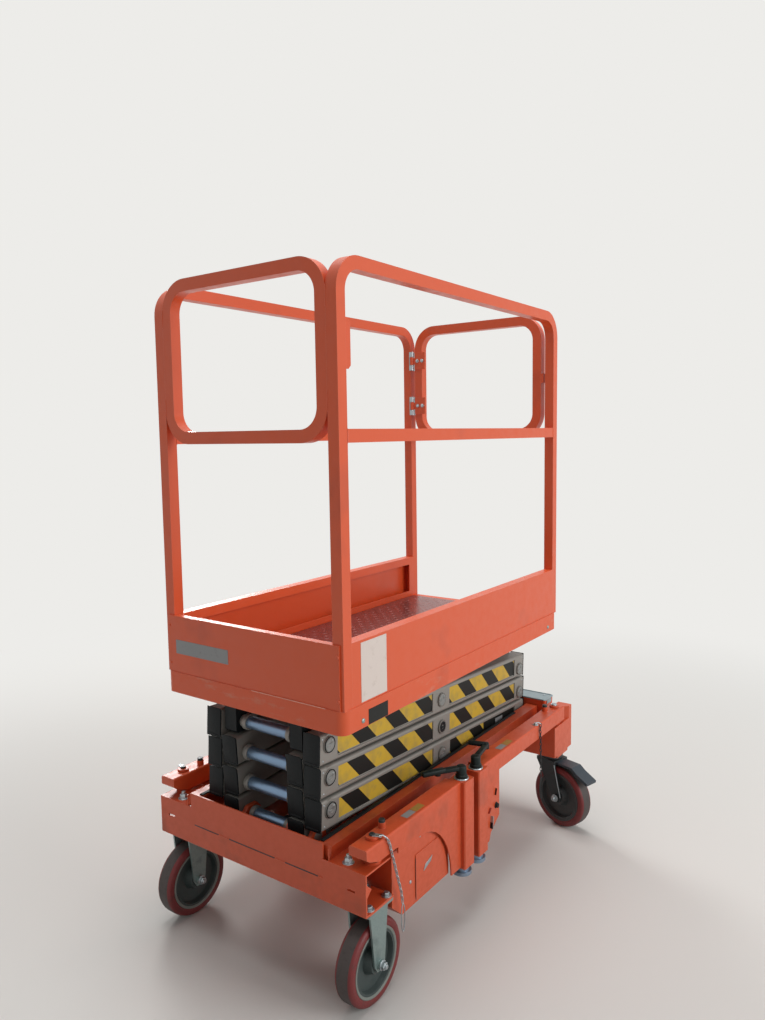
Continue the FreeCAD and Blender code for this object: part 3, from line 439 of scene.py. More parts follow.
class Form:
    """A mesh under construction, in millimetres, that ends as one object on one body."""

    def __init__(self) -> None:
        """Starts an empty mesh."""
        self.mesh = bmesh.new()
        self.uv = self.mesh.loops.layers.uv.new("UVMap")

    def soften(self, verts: Iterable[bmesh.types.BMVert], bevel: float) -> None:
        """Rounds the edges of a solid.

        Args:
            verts: the solid's corners.
            bevel: edge radius, or 0 for none.
        """
        if bevel:
            edges = {e for v in verts for e in v.link_edges}
            bmesh.ops.bevel(self.mesh, geom=list(edges), offset=bevel, segments=2, affect="EDGES",
                            profile=0.5, clamp_overlap=True)

    def skin(self, rings: Sequence[Sequence[Vector]], closed: bool = False, capped: bool = False) -> "Form":
        """Joins rings of points, one after the other, to a surface.

        Args:
            rings: rings of the same number of points, or of one point for a tip.
            closed: joins the last ring to the first.
            capped: closes both open ends with a flat face.

        Returns:
            The form itself, so calls can be chained.
        """
        made = [[self.mesh.verts.new(p) for p in ring] for ring in rings]
        steps = max(len(ring) for ring in made)
        for first, second in zip(made, made[1:] + made[:1] if closed else made[1:]):
            for k in range(steps):
                n = (k + 1) % steps
                corners = [ring[i % len(ring)] for ring, i in ((first, k), (first, n), (second, n),
                                                               (second, k))]
                corners = list(dict.fromkeys(corners))
                if len(corners) > 2:
                    self.mesh.faces.new(corners)
        if capped:
            self.mesh.faces.new(made[0][::-1])
            self.mesh.faces.new(made[-1])
        return self

    def box(self, low: Point, high: Point, bevel: float = 0.6, turn: Matrix | None = None) -> "Form":
        """Adds a box with softened edges.

        Args:
            low: lowest corner.
            high: highest corner.
            bevel: edge radius.
            turn: optional matrix applied after the box is made.

        Returns:
            The form itself.
        """
        lo, hi = Vector(low), Vector(high)
        made = bmesh.ops.create_cube(self.mesh, size=1.0)["verts"]
        bmesh.ops.scale(self.mesh, vec=hi - lo, verts=made)
        bmesh.ops.translate(self.mesh, vec=(hi + lo) / 2, verts=made)
        if turn:
            bmesh.ops.transform(self.mesh, matrix=turn, verts=made)
        self.soften(made, bevel)
        return self

    def turned(self, profile: Sequence[tuple[float, float]], base: Point, axis: Point,
               segments: int = 32, closed: bool = False) -> "Form":
        """Adds a lathe form.

        Args:
            profile: pairs of radius and distance along the axis, from one end to the other.
            base: the point on the axis at distance 0.
            axis: the axis direction.
            segments: steps round.
            closed: joins the profile's last point to its first.

        Returns:
            The form itself.
        """
        along = Vector(axis).normalized()
        return self.skin([circle(Vector(base) + along * height, along, radius, segments if radius else 1)
                          for radius, height in profile], closed)

    def pipe(self, path: Sequence[Point], radius: float, segments: int = 12, closed: bool = False) -> "Form":
        """Adds a round bar along a path.

        Args:
            path: points of its middle line.
            radius: bar radius.
            segments: steps round.
            closed: joins the last point to the first.

        Returns:
            The form itself.
        """
        points = [Vector(p) for p in path]
        last = len(points) - 1
        rings = []
        side = None
        for i, point in enumerate(points):
            before = points[i - 1] if closed or i else point
            after = points[(i + 1) % len(points)] if closed or i < last else point
            along = (after - before).normalized()
            side = (side - along * side.dot(along) if side else along.orthogonal()).normalized()
            rings.append(oval(point, side * radius, along.cross(side) * radius, segments))
        return self.skin(rings, closed, capped=not closed)

    def hexagon(self, centre: Point, axis: Point, across: float, height: float,
                washer: float = 0.0) -> "Form":
        """Adds a hexagon bolt head with a chamfered crown and an optional washer under it.

        Args:
            centre: point on the seat.
            axis: direction out of the seat.
            across: size across flats.
            height: head height.
            washer: washer radius, or 0 for none.

        Returns:
            The form itself.
        """
        along = Vector(axis).normalized()
        seat = Vector(centre)
        if washer:
            self.turned([(0, 0), (washer, 0), (washer, 1.2), (washer - 0.6, 1.6), (0, 1.6)], seat, along, 20)
            seat = seat + along * 1.6
        r = across / math.sqrt(3)
        self.turned([(0, 0), (r, 0), (r, height * 0.8), (r * 0.84, height), (0, height)], seat, along, 6)
        return self

    def patch(self, corners: Sequence[Point], uv: Sequence[tuple[float, float]], out: Point,
              thick: float = 0.5) -> "Form":
        """Adds a thin flat sheet, its UV in metres.

        Args:
            corners: four corners in order.
            uv: the UV of each corner, in metres.
            out: direction its printed side faces.
            thick: sheet thickness.

        Returns:
            The form itself.
        """
        push = Vector(out).normalized() * thick
        low = [self.mesh.verts.new(Vector(c)) for c in corners]
        top = [self.mesh.verts.new(Vector(c) + push) for c in corners]
        n = len(corners)
        faces = [(top, list(range(n)))]
        faces += [([low[i], low[(i + 1) % n], top[(i + 1) % n], top[i]], [i, (i + 1) % n, (i + 1) % n, i])
                  for i in range(n)]
        faces.append((low[::-1], list(range(n))[::-1]))
        for verts, index in faces:
            face = self.mesh.faces.new(verts)
            for loop, i in zip(face.loops, index):
                loop[self.uv].uv = uv[i]
        return self

    def prism(self, outline: Sequence[Point], push: Point, bevel: float) -> "Form":
        """Adds a flat outline pushed to a solid.

        Args:
            outline: its corners in order.
            push: the vector from the first face to the second.
            bevel: edge radius.

        Returns:
            The form itself.
        """
        low = [Vector(c) for c in outline]
        self.skin([low, [c + Vector(push) for c in low]], capped=True)
        self.mesh.verts.ensure_lookup_table()
        self.soften(self.mesh.verts[-2 * len(low):], bevel)
        return self

    def bar(self, start: Point, end: Point, wide: float, high: float, bevel: float) -> "Form":
        """Adds a flat bar with softened edges between two points.

        Args:
            start: middle of its first end.
            end: middle of its last end.
            wide: width across, level with the ground where it can be.
            high: thickness.
            bevel: edge radius.

        Returns:
            The form itself.
        """
        a, b = Vector(start), Vector(end)
        along = (b - a).normalized()
        level = Vector((0, 0, 1)).cross(along)
        across = level.normalized() if level.length > 1e-3 else Vector((0, 1, 0))
        basis = Matrix((along, across, along.cross(across))).transposed().to_4x4()
        length = (b - a).length
        turn = Matrix.Translation(a) @ basis
        return self.box((0, -wide / 2, -high / 2), (length, wide / 2, high / 2), bevel, turn)

    def dome(self, centre: Point, axis: Point, radius: float) -> "Form":
        """Adds a domed screw head with a small socket."""
        shape = [(0, 0), (1, 0), (0.9, 0.3), (0.55, 0.48), (0.3, 0.5), (0.22, 0.3), (0, 0.28)]
        return self.turned([(radius * r, radius * h) for r, h in shape], centre, axis, 20)

    def sign(self, corner: Point, wide: Point, high: Point, out: Point) -> "Form":
        """Adds a bare sheet of label stock with its UV in metres.

        Args:
            corner: one corner on the surface.
            wide: vector along its width.
            high: vector along its height.
            out: direction its face looks.

        Returns:
            The form itself.
        """
        a, u, v = Vector(corner), Vector(wide), Vector(high)
        w, h = u.length * MM, v.length * MM
        return self.patch([a, a + u, a + u + v, a + v], [(0, 0), (w, 0), (w, h), (0, h)], out, 0.5)

    def chain(self, path: Sequence[Point], pitch: float, wire: float) -> "Form":
        """Adds oval links along a path, each a quarter turn from the last.

        Args:
            path: points that the chain hangs along.
            pitch: length of one link inside.
            wire: wire radius.

        Returns:
            The form itself.
        """
        points = [Vector(p) for p in path]
        legs = list(zip(points, points[1:]))
        total = sum((b - a).length for a, b in legs)
        count = max(2, round(total / pitch))
        for k in range(count):
            left = total * (k + 0.5) / count
            for a, b in legs:
                if left <= (b - a).length:
                    break
                left -= (b - a).length
            along = (b - a).normalized()
            middle = a + along * left
            side = along.cross(Vector((0, 1, 0)) if k % 2 else Vector((1, 0, 0))).normalized()
            link = oval(middle, along * (pitch * 0.68), side * (pitch * 0.30), 14)
            self.pipe(link, wire, 6, closed=True)
        return self

    def moved(self, matrix: Matrix) -> "Form":
        """Turns or shifts everything made so far."""
        bmesh.ops.transform(self.mesh, matrix=matrix, verts=self.mesh.verts[:])
        return self

    def mirrored(self) -> "Form":
        """Adds the same form on the other side of the middle plane."""
        copied = bmesh.ops.duplicate(self.mesh,
                                     geom=self.mesh.verts[:] + self.mesh.edges[:] + self.mesh.faces[:])
        verts = [g for g in copied["geom"] if isinstance(g, bmesh.types.BMVert)]
        faces = [g for g in copied["geom"] if isinstance(g, bmesh.types.BMFace)]
        bmesh.ops.scale(self.mesh, vec=(1, -1, 1), verts=verts)
        bmesh.ops.reverse_faces(self.mesh, faces=faces)
        return self

    def place(self, name: str, body: str, finish: Finish | HazardTape, replaces: Iterable[str] = (),
              slot: Slot | None = None) -> None:
        """Turns the mesh to a scene object that rides on a body.

        Args:
            name: object name.
            body: the body it moves with.
            finish: the finish it is dressed in.
            replaces: CAD nodes it stands for.
            slot: not used.
        """
        bmesh.ops.recalc_face_normals(self.mesh, faces=self.mesh.faces[:])
        bmesh.ops.scale(self.mesh, vec=(MM, MM, MM), verts=self.mesh.verts[:])
        for edge in self.mesh.edges:
            edge.smooth = edge.calc_face_angle(math.pi) < SMOOTH_BELOW
        for face in self.mesh.faces:
            face.smooth = True
        data = bpy.data.meshes.new(name)
        self.mesh.to_mesh(data)
        self.mesh.free()
        data.materials.append(finish.build())
        piece = bpy.data.objects.new(name, data)
        bpy.context.scene.collection.objects.link(piece)
        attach(piece, body)
        if replaces:
            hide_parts(*replaces)
        LOG.info("%s rides on %s", name, body)


def dress(finish: Finish, *names: str) -> None:
    """Gives CAD nodes a finish through their material slots.

    Args:
        finish: the finish to use.
        names: CAD node names.
    """
    material = finish.build()
    for name in names:
        piece = bpy.data.objects[name]
        if not piece.material_slots:
            piece.data.materials.append(material)
        for holder in piece.material_slots:
            holder.material = material


def bead(form: Form, path: Sequence[Point], radius: float = 1.6, ripple: float = 4.0) -> None:
    """Adds a rippled weld bead along straight runs.

    Args:
        form: the form that gets it.
        path: corner points of the seam.
        radius: bead radius.
        ripple: distance between ripples.
    """
    for start, end in zip(path, path[1:]):
        a, b = Vector(start), Vector(end)
        length = (b - a).length
        steps = max(2, int(length / ripple))
        profile = [(0.0, 0.0)]
        for k in range(steps + 1):
            profile.append((radius * (0.82 if k % 2 else 1.05), length * k / steps))
        profile.append((0.0, length))
        form.turned(profile, a, b - a, 8)


@dataclass
class Platform:
    """Deck, toe boards and guard rails, with their welds, bolts, labels and tread floor."""

    half_length: float = 575.0
    half_width: float = 294.0
    skirt_half: tuple[float, float] = (581.0, 296.0)
    floor: float = 705.0
    skirt_top: float = 702.0
    toe_top: float = 850.0
    kick_face: float = -579.0
    tube: float = 30.0
    mid_rail: float = 1291.0
    top: float = 1692.0
    hinge_z: tuple[float, float] = (1411.0, 1573.0)
    tread_pitch: float = 22.0
    body: str = "platform"

    def build(self) -> None:
        """Dresses the CAD nodes and adds every small piece of the platform."""
        dress(ORANGE_SKIRT, "deck_frame")
        dress(ORANGE, "deck_tracks", "toe_boards", "side_rail_right", "side_rail_left", "end_loop",
              "gate_frame")
        dress(TREAD_PLATE, "deck_plate")
        dress(BLACK_PLASTIC, "deck_lugs")
        dress(ZINC, "gate_hinges")
        self.tread()
        self.welds()
        self.fasteners()
        self.labels()
        self.lanyard()

    def tread(self) -> None:
        """Raised lozenge bars of the tread plate, alternating in direction."""
        form = Form()
        p = self.tread_pitch
        for i in range(int((2 * self.half_length - 70) / p)):
            for j in range(int((2 * self.half_width - 84) / p)):
                x = -self.half_length + 24 + p * (i + 0.5)
                y = -self.half_width + 42 + p * (j + 0.5)
                turn = math.radians(45 if (i + j) % 2 else -45)
                c, s = math.cos(turn), math.sin(turn)
                ring = [(9, 0), (5, 2.1), (0, 2.8), (-5, 2.1), (-9, 0), (-5, -2.1), (0, -2.8), (5, -2.1)]
                low, top = ([form.mesh.verts.new((x + k * (a * c - b * s), y + k * (a * s + b * c),
                                                  z)) for a, b in ring]
                            for k, z in ((1.0, self.floor - 0.2), (0.5, self.floor + 0.7)))
                form.mesh.faces.new(top)
                form.mesh.faces.new(low[::-1])
                for k in range(8):
                    form.mesh.faces.new((low[k], low[(k + 1) % 8], top[(k + 1) % 8], top[k]))
        form.place("tread_bars", self.body, TREAD_PLATE)

    def welds(self) -> None:
        """Weld beads where rails meet posts and posts meet the deck."""
        form = Form()
        x, y, t = self.half_length, self.half_width, self.tube
        z0, z1 = self.mid_rail, self.mid_rail + t
        for end in (-1, 1):
            inner = end * (x - t)
            bead(form, [(inner, y, z0), (inner, y, z1)])
            bead(form, [(inner, y - t, z0), (inner, y - t, z1), (inner, y, z1)])
            bead(form, [(inner, y - t, z0), (inner, y, z0)])
            bead(form, [(end * x, y - 1, self.skirt_top), (inner, y - 1, self.skirt_top)], 1.4)
        form.mirrored()
        loop = Form()
        for z in (self.mid_rail + 90, self.top - 90):
            for inset in (0.5, t - 0.5):
                bead(loop, [(-x + inset, 264, z - 22), (-x + inset, 264, z + 22)])
        loop.mirrored()
        form.place("rail_weld_beads", self.body, ORANGE)
        loop.place("loop_weld_beads", self.body, ORANGE)

    def fasteners(self) -> None:
        """Domed screws of the kick plate and skirt, and the bolts of the tab, hinges and gate."""
        wide = self.skirt_half[1]
        painted, dull = Form(), Form()
        for side in (-1, 1):
            for z in (724, 824):
                painted.dome((self.kick_face, side * 280, z), (-1, 0, 0), 4.5)
            for x in (-511, 505):
                dull.dome((x, side * wide, 664), (0, side, 0), 6.0)
        painted.place("kick_plate_screws", self.body, ORANGE)
        dull.place("skirt_screws", self.body, FORK_ZINC)
        # pale strip along the ledge between kick plate and skirt: a painted highlight
        ledge = Form().pipe([(self.kick_face - 1.6, y, self.skirt_top) for y in (-14, -130, -244)], 0.9, 8)
        ledge.place("painted_highlight_skirt_ledge", self.body, SKIRT_LEDGE_HIGHLIGHT)
        tab = Form()
        for z in (self.top - 222, self.top - 150):
            tab.hexagon((-516, -259, z), (0, 1, 0), 10, 5, 9)
        tab.place("tab_bolts", self.body, ZINC)
        hinge = Form()
        gate = Form()
        for z in self.hinge_z:
            for step in (-24, 24):
                hinge.hexagon((557, 262, z + step), (0, -1, 0), 8, 4)
            for y in (212, 232):
                gate.hexagon((541, y, z), (-1, 0, 0), 8, 4, 6.5)
        hinge.place("hinge_bolts", self.body, ZINC)
        gate.place("gate_leaf_bolts", "gate", ZINC)

    def labels(self) -> None:
        """Bare label stock where the real one carries signs, with no print on it."""
        board, skirt = -self.half_width, -self.skirt_half[1]
        Form().sign((-513, board, 706), (99, 0, 0), (0, 0, 138), (0, -1, 0)).place(
            "blank_side_sign", self.body, LABEL_WHITE)
        Form().sign((-490, skirt, 648), (76, 0, 0), (0, 0, 36), (0, -1, 0)).place(
            "blank_skirt_sign", self.body, LABEL_BLACK)
        Form().sign((self.kick_face, 257, 752), (0, -192, 0), (0, 0, 36), (-1, 0, 0)).place(
            "blank_end_strip", self.body, LABEL_GREY)

    def lanyard(self) -> None:
        """Short chain with its ring that hangs from the latch tab inside the near post."""
        x, y, top = -520.0, -255.0, self.top - 240
        form = Form()
        form.chain([(x, y, top), (x, y + 1, top - 150), (x + 2, y, top - 300)], 11.0, 1.3)
        form.pipe(circle((x, y, top + 8), (1, 0, 0), 8, 24), 1.3, 8, closed=True)
        form.pipe(circle((x + 2, y, top - 316), (1, 0, 0), 14, 28), 1.4, 8, closed=True)
        form.place("gate_lanyard_chain", self.body, BLACK_STEEL)


@dataclass
class ScissorStack:
    """Three crossed pairs of arms with tape, cap faces, shaft sleeves, collars and pin heads."""

    pin_x: float = 508.0
    pin_z: float = 344.0
    pitch: float = 80.0
    outer_face: float = 190.0
    recess: float = 3.0
    offset: float = 10.0
    arm_high: float = 74.0
    tape_high: float = 48.0
    overhang: float = 34.0
    middles: tuple[float, float] = (110.5, 165.5)
    wide: float = 49.0
    seal: tuple[float, float] = (17.2, 19.4)
    bar_start: tuple[tuple[float, float], ...] = ((-440.0, 41.0), (-413.0, 95.0), (-408.0, 121.0))
    dark_from: float = 258.0
    spans: tuple[tuple[float, float], tuple[float, float]] = ((-474.0, -47.0), (47.0, 474.0))

    def pin(self, stage: int, end: str) -> tuple[float, float]:
        """Rest place of a pin.

        Args:
            stage: 1 at the bottom to 3 at the top.
            end: "low", "mid" or "high" of the inner arm.

        Returns:
            Its x and z.
        """
        z = self.pin_z + self.pitch * (stage - 1)
        return {"low": (-self.pin_x, z), "mid": (0.0, z + self.pitch / 2),
                "high": (self.pin_x, z + self.pitch)}[end]

    @property
    def tilt(self) -> float:
        """Slope of an arm's tube at rest, in radians."""
        return math.atan2(self.pitch - 2 * self.offset, 2 * self.pin_x)

    def build(self) -> None:
        """Dresses every arm, cap and pin."""
        for stage in (1, 2, 3):
            dress(ARM_GREY, f"inner_arms_{stage}", f"outer_arms_{stage}")
            dress(BLACK_PLASTIC, f"inner_caps_{stage}", f"outer_caps_{stage}")
            self.tape(stage)
            self.cap_faces(stage)
            self.shafts(stage)
            self.heads(stage)
        dress(BLACK_STEEL, "cylinder_barrel")
        dress(CHROME, "cylinder_rod")
        self.gland()

    def along(self, stage: int, x: float, up: float, sign: int) -> tuple[float, float]:
        """A point of an arm's side at rest.

        Args:
            stage: the stage.
            x: distance from the middle pin along the length.
            up: distance above the tube's middle line.
            sign: 1 for an arm that rises to the gate end, -1 for one that falls to it.

        Returns:
            Its x and z.
        """
        return x, self.pin(stage, "mid")[1] + sign * x * math.tan(self.tilt) + up

    def strip(self, stage: int, span: tuple[float, float], rise: tuple[float, float], start: float,
              proud: float) -> Form:
        """One strip of tape in a recess of an outer arm, on the right side.

        Args:
            stage: the stage.
            span: where it starts and ends along the length.
            rise: its lower and upper edge, over the tube's middle line.
            start: where a black bar starts.
            proud: how far it lies over the recess.

        Returns:
            The form.
        """
        face = self.outer_face - self.recess + proud
        corners, uv = [], []
        for x, up in ((span[0], rise[0]), (span[1], rise[0]), (span[1], rise[1]), (span[0], rise[1])):
            px, pz = self.along(stage, x, up, -1)
            corners.append((px, -face, pz))
            uv.append(((x - start) * MM, up * MM))
        return Form().patch(corners, uv, (0, -1, 0), 0.5)

    def tape(self, stage: int) -> None:
        """Hazard tape in the two recesses of an outer pair's web; the lowest one ends in plain black."""
        body, rise = f"outer_{stage}", (-self.tape_high / 2, self.tape_high / 2)
        for k, (span, start) in enumerate(zip(self.spans, self.bar_start[stage - 1])):
            if stage == 1 and k == 1:
                dark = self.strip(stage, (self.dark_from, span[1]), rise, 0, 0.0)
                dark.mirrored().place("dark_tape_1", body, LABEL_BLACK)
                patch = self.strip(stage, (338, 388), (-5, 17), 0, 0.5)
                patch.mirrored().place("grey_patch_1", body, LABEL_GREY)
                span = (span[0], self.dark_from)
            strip = self.strip(stage, span, rise, start, 0.0)
            strip.mirrored().place(f"hazard_tape_{stage}_{k}", body, HAZARD)

    def cap_faces(self, stage: int) -> None:
        """Flat moulded panels over each arm's end, with a small lip along the lower edge."""
        for kind, sign, middle in (("inner", 1, self.middles[0]), ("outer", -1, self.middles[1])):
            form = Form()
            for end in (-1, 1):
                x, z = self.along(stage, end * (self.pin_x + self.overhang), 0, sign)
                turn = Matrix.Translation((x, middle, z)) @ Matrix.Rotation(-sign * self.tilt, 4, "Y")
                high, half = self.arm_high / 2 + 1, self.wide / 2 + 0.3
                form.box((min(0, end * 1.6), -half, -high), (max(0, end * 1.6), half, high), 0.9, turn)
                form.box((min(0, end * 2.6), -half + 6, 4 - high), (max(0, end * 2.6), half - 6, 7 - high),
                         0.6, turn)
            form.mirrored().place(f"{kind}_cap_faces_{stage}", f"{kind}_{stage}", BLACK_PLASTIC)

    def shafts(self, stage: int) -> None:
        """Bright sleeves and grey collars on the cross shafts between the arms."""
        ends = [("outer", (-self.pin_x, self.pin_z + self.pitch * stage))]
        if stage < 3:
            ends.append(("inner", (self.pin_x, self.pin_z + self.pitch * stage)))
        if stage == 1:
            ends.append(("inner", (-self.pin_x, self.pin_z)))
        for k, (kind, (x, z)) in enumerate(ends):
            body = f"{kind}_{stage}"
            reach = 66.0 if (kind, x) == ("inner", -self.pin_x) else 82.0
            sleeve = Form().turned([(15.05, -reach + 12), (15.6, 13 - reach), (15.6, reach - 13), (15.05,
                                                                                                   reach - 12)],
                                   (x, 0, z), (0, 1, 0), 40)
            sleeve.place(f"shaft_sleeve_{stage}_{k}", body, SHAFT)
            collar = Form()
            collar.turned([(15.2, 0), (19, 0), (20, 1), (20, 12), (19, 13), (15.2, 13)], (x, reach - 14, z),
                          (0, 1, 0), 32, closed=True)
            collar.mirrored().place(f"shaft_collar_{stage}_{k}", body, ARM_GREY)

    def heads(self, stage: int) -> None:
        """Pin heads with a black seal ring and a keeper screw; the middle one of stage 2 is a black plug."""
        outer, inner = f"outer_{stage}", f"inner_{stage}"
        high = self.pin_z + self.pitch * stage
        spots = [(outer, -self.pin_x, high, 0.0), (inner, *self.pin(stage, "mid"), 0.5)]
        if stage < 3:
            spots.append((inner, self.pin_x, high, 0.5))
        for k, (body, x, z, lift) in enumerate(spots):
            face = self.outer_face + (4 if body == outer else 2.5) + lift
            plug = stage == 2 and k == 1
            disc = Form()
            disc.turned([(0, 0), (13, 0), (15.6, 0.2), (16, 1.0), (15.4, 1.8), (6, 2.0), (5, 1.2), (0, 1.1)],
                        (x, face, z), (0, 1, 0), 36)
            disc.dome((x + 8, face + 1.7, z + 8), (0, 1, 0), 4.6)
            disc.box((x - 11, face + 1.6, z - 3.2), (x + 3, face + 3.2, z + 3.2), 0.5)
            disc.mirrored().place(f"pin_head_{stage}_{k}", body, BLACK_PLASTIC if plug else PIN_HEAD)
            inner_r, outer_r = self.seal
            rim = [(inner_r, -0.3), (outer_r, -0.3), (outer_r + 0.2, 0.8), (outer_r - 0.6, 1.5),
                   (inner_r + 0.4, 1.5)]
            ring = Form().turned(rim, (x, face, z), (0, 1, 0), 36, closed=True)
            ring.mirrored().place(f"pin_seal_{stage}_{k}", body, BLACK_PLASTIC)
        self.end_screws(stage)

    def end_screws(self, stage: int) -> None:
        """Two small screws above and below each pin at the outer arms' ends."""
        form = Form()
        for end in (-1, 1):
            for up in (-26, 26):
                x, z = self.along(stage, end * 530.0, up, -1)
                form.dome((x, self.outer_face, z), (0, 1, 0), 2.6)
        form.mirrored().place(f"arm_end_screws_{stage}", f"outer_{stage}", ZINC)

    def gland(self) -> None:
        """Hex nut on the cylinder's port."""
        low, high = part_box("cylinder_barrel")
        x, z = high[0] / MM, high[2] / MM
        form = Form().hexagon((x - 68, 0, z - 14), (-0.24, 0, 0.97), 16, 10)
        form.place("cylinder_port_nut", "lift_barrel", ZINC)


@dataclass
class Chassis:
    """Folded beams, side rails, floor, cabinets and the power box at the gate end."""

    near_web: float = -579.0
    beam_top: float = 344.0
    beam_low: float = 244.0
    rail_top: float = 373.0
    cabinet_face: float = 338.0
    lid_top: float = 394.0
    seams: tuple[tuple[float, float], ...] = ((213.0, 121.0), (84.0, -74.0), (-107.0, -210.0))
    castors: tuple[float, float] = (519.0, 305.0)
    body: str = "base"

    def build(self) -> None:
        """Dresses the base's CAD nodes and adds its small pieces."""
        dress(ORANGE_BASE, "near_beam", "far_beam", "base_rails", "base_floor", "side_cabinets", "power_box")
        dress(LID, "power_box_lid")
        dress(BLACK_PLASTIC, "battery_block")
        self.welds()
        self.fasteners()
        self.rail_shadow_strips_and_end_plates()
        self.cabinets()
        self.power_box()

    def welds(self) -> None:
        """Open seam of the crest plate, tacked between its three runs, and the rails' welds."""
        seam = Form()
        for start, end in self.seams:
            lo, hi = sorted((start, end))
            seam.box((self.near_web - 0.5, lo, 297.2), (self.near_web + 0.4, hi, 300.0), 0.2)
        seam.place("crest_seam_gaps", self.body, BLACK_STEEL)
        form = Form()
        marks = [216, *(y for run in self.seams for y in run), -222]
        for start, end in zip(marks[2::2], marks[3::2]):
            bead(form, [(self.near_web - 0.3, start, 298.6), (self.near_web - 0.3, end, 298.6)], 1.7)
        for side in (-1, 1):
            bead(form, [(-575, side * 240, 316), (-575, side * 240, 372)], 2.0)
            bead(form, [(452, side * 240, 316), (452, side * 240, 343)], 2.0)
            bead(form, [(-474, side * 298, self.beam_top - 0.5), (-474, side * 244, self.beam_top - 0.5)],
                 1.8)
        form.place("beam_weld_beads", self.body, ORANGE_BASE)

    def fasteners(self) -> None:
        """Castor plate bolts, the upright beam bolts and the pivot posts' nuts."""
        form = Form()
        for end in (-1, 1):
            for dx in (-33, 33):
                for y in (275, 335):
                    form.hexagon((end * self.castors[0] + dx, y, self.beam_low + 4), (0, 0, 1), 13, 7, 12)
        form.turned([(0, 0), (10, 0), (10, 2), (8, 4.5), (4, 5.6), (0, 6)], (500, 322, 405), (0, 0, 1), 32)
        form.mirrored().place("base_bolts", self.body, ZINC)
        near = Form().hexagon((-520, 322, 405), (0, 0, 1), 13, 5)
        near.mirrored().place("near_pivot_screws", self.body, BLACK_STEEL)
        upright = Form()
        upright.hexagon((-556, -281, self.beam_top), (0, 0, 1), 17, 11, 14)
        upright.turned([(0, 0), (5, 0), (5, 19), (4, 20), (0, 20)], (-556, -281, self.beam_top), (0, 0, 1),
                       20)
        upright.mirrored().place("beam_bolts", self.body, ZINC)

    def rail_shadow_strips_and_end_plates(self) -> None:
        """Black strips of painted shadow on top of both rails beside the lowest arms, and the rails' end plates.
        """
        # black strips standing for the shadow in the gap between the lowest arms and the rails: painted shadow
        form = Form().box((-560, 200.5, self.rail_top - 0.2), (440, 212, self.rail_top + 3.2), 1.2)
        form.mirrored().place("rail_painted_shadow_strips", self.body, BLACK_PLASTIC)
        plates = Form().box((-567, 200.5, 315.5), (-565, 239.5, self.rail_top - 0.5), 0.6)
        plates.mirrored().place("rail_end_plates", self.body, ORANGE_BASE)

    def cabinets(self) -> None:
        """Screws and latch plates of the side cabinets."""
        face = self.cabinet_face
        form = Form()
        form.prism([(-333, face, 234), (-300, face, 245), (-292, face, 258), (-325, face, 247)], (0, 1.6,
                                                                                                  0), 0.5)
        form.mirrored().place("cabinet_latch", self.body, ZINC)
        screws = Form()
        screws.dome((-388, face - 2, 232), (0, 1, 0), 4.5)
        screws.dome((-344, face - 2, 330), (0, 1, 0), 4.5)
        screws.mirrored().place("cabinet_screws", self.body, ZINC)
        seam = Form()
        seam.box((-366.8, face - 0.6, 176), (-365.6, face + 0.3, 282), 0.2)
        seam.mirrored().place("cabinet_door_seam", self.body, BLACK_STEEL)

    def power_box(self) -> None:
        """Lid screws and the folded rim of the lid."""
        form = Form()
        for y in (-240, -80, 80, 240):
            form.dome((604, y, self.lid_top), (0, 0, 1), 5.0)
        form.place("lid_screws", self.body, ZINC)
        rim = Form()
        for x in (551.0, 617.0):
            rim.box((x, -262, self.lid_top - 0.3), (x + 3, 262, self.lid_top + 1.6), 0.5)
        rim.place("lid_rims", self.body, LID)


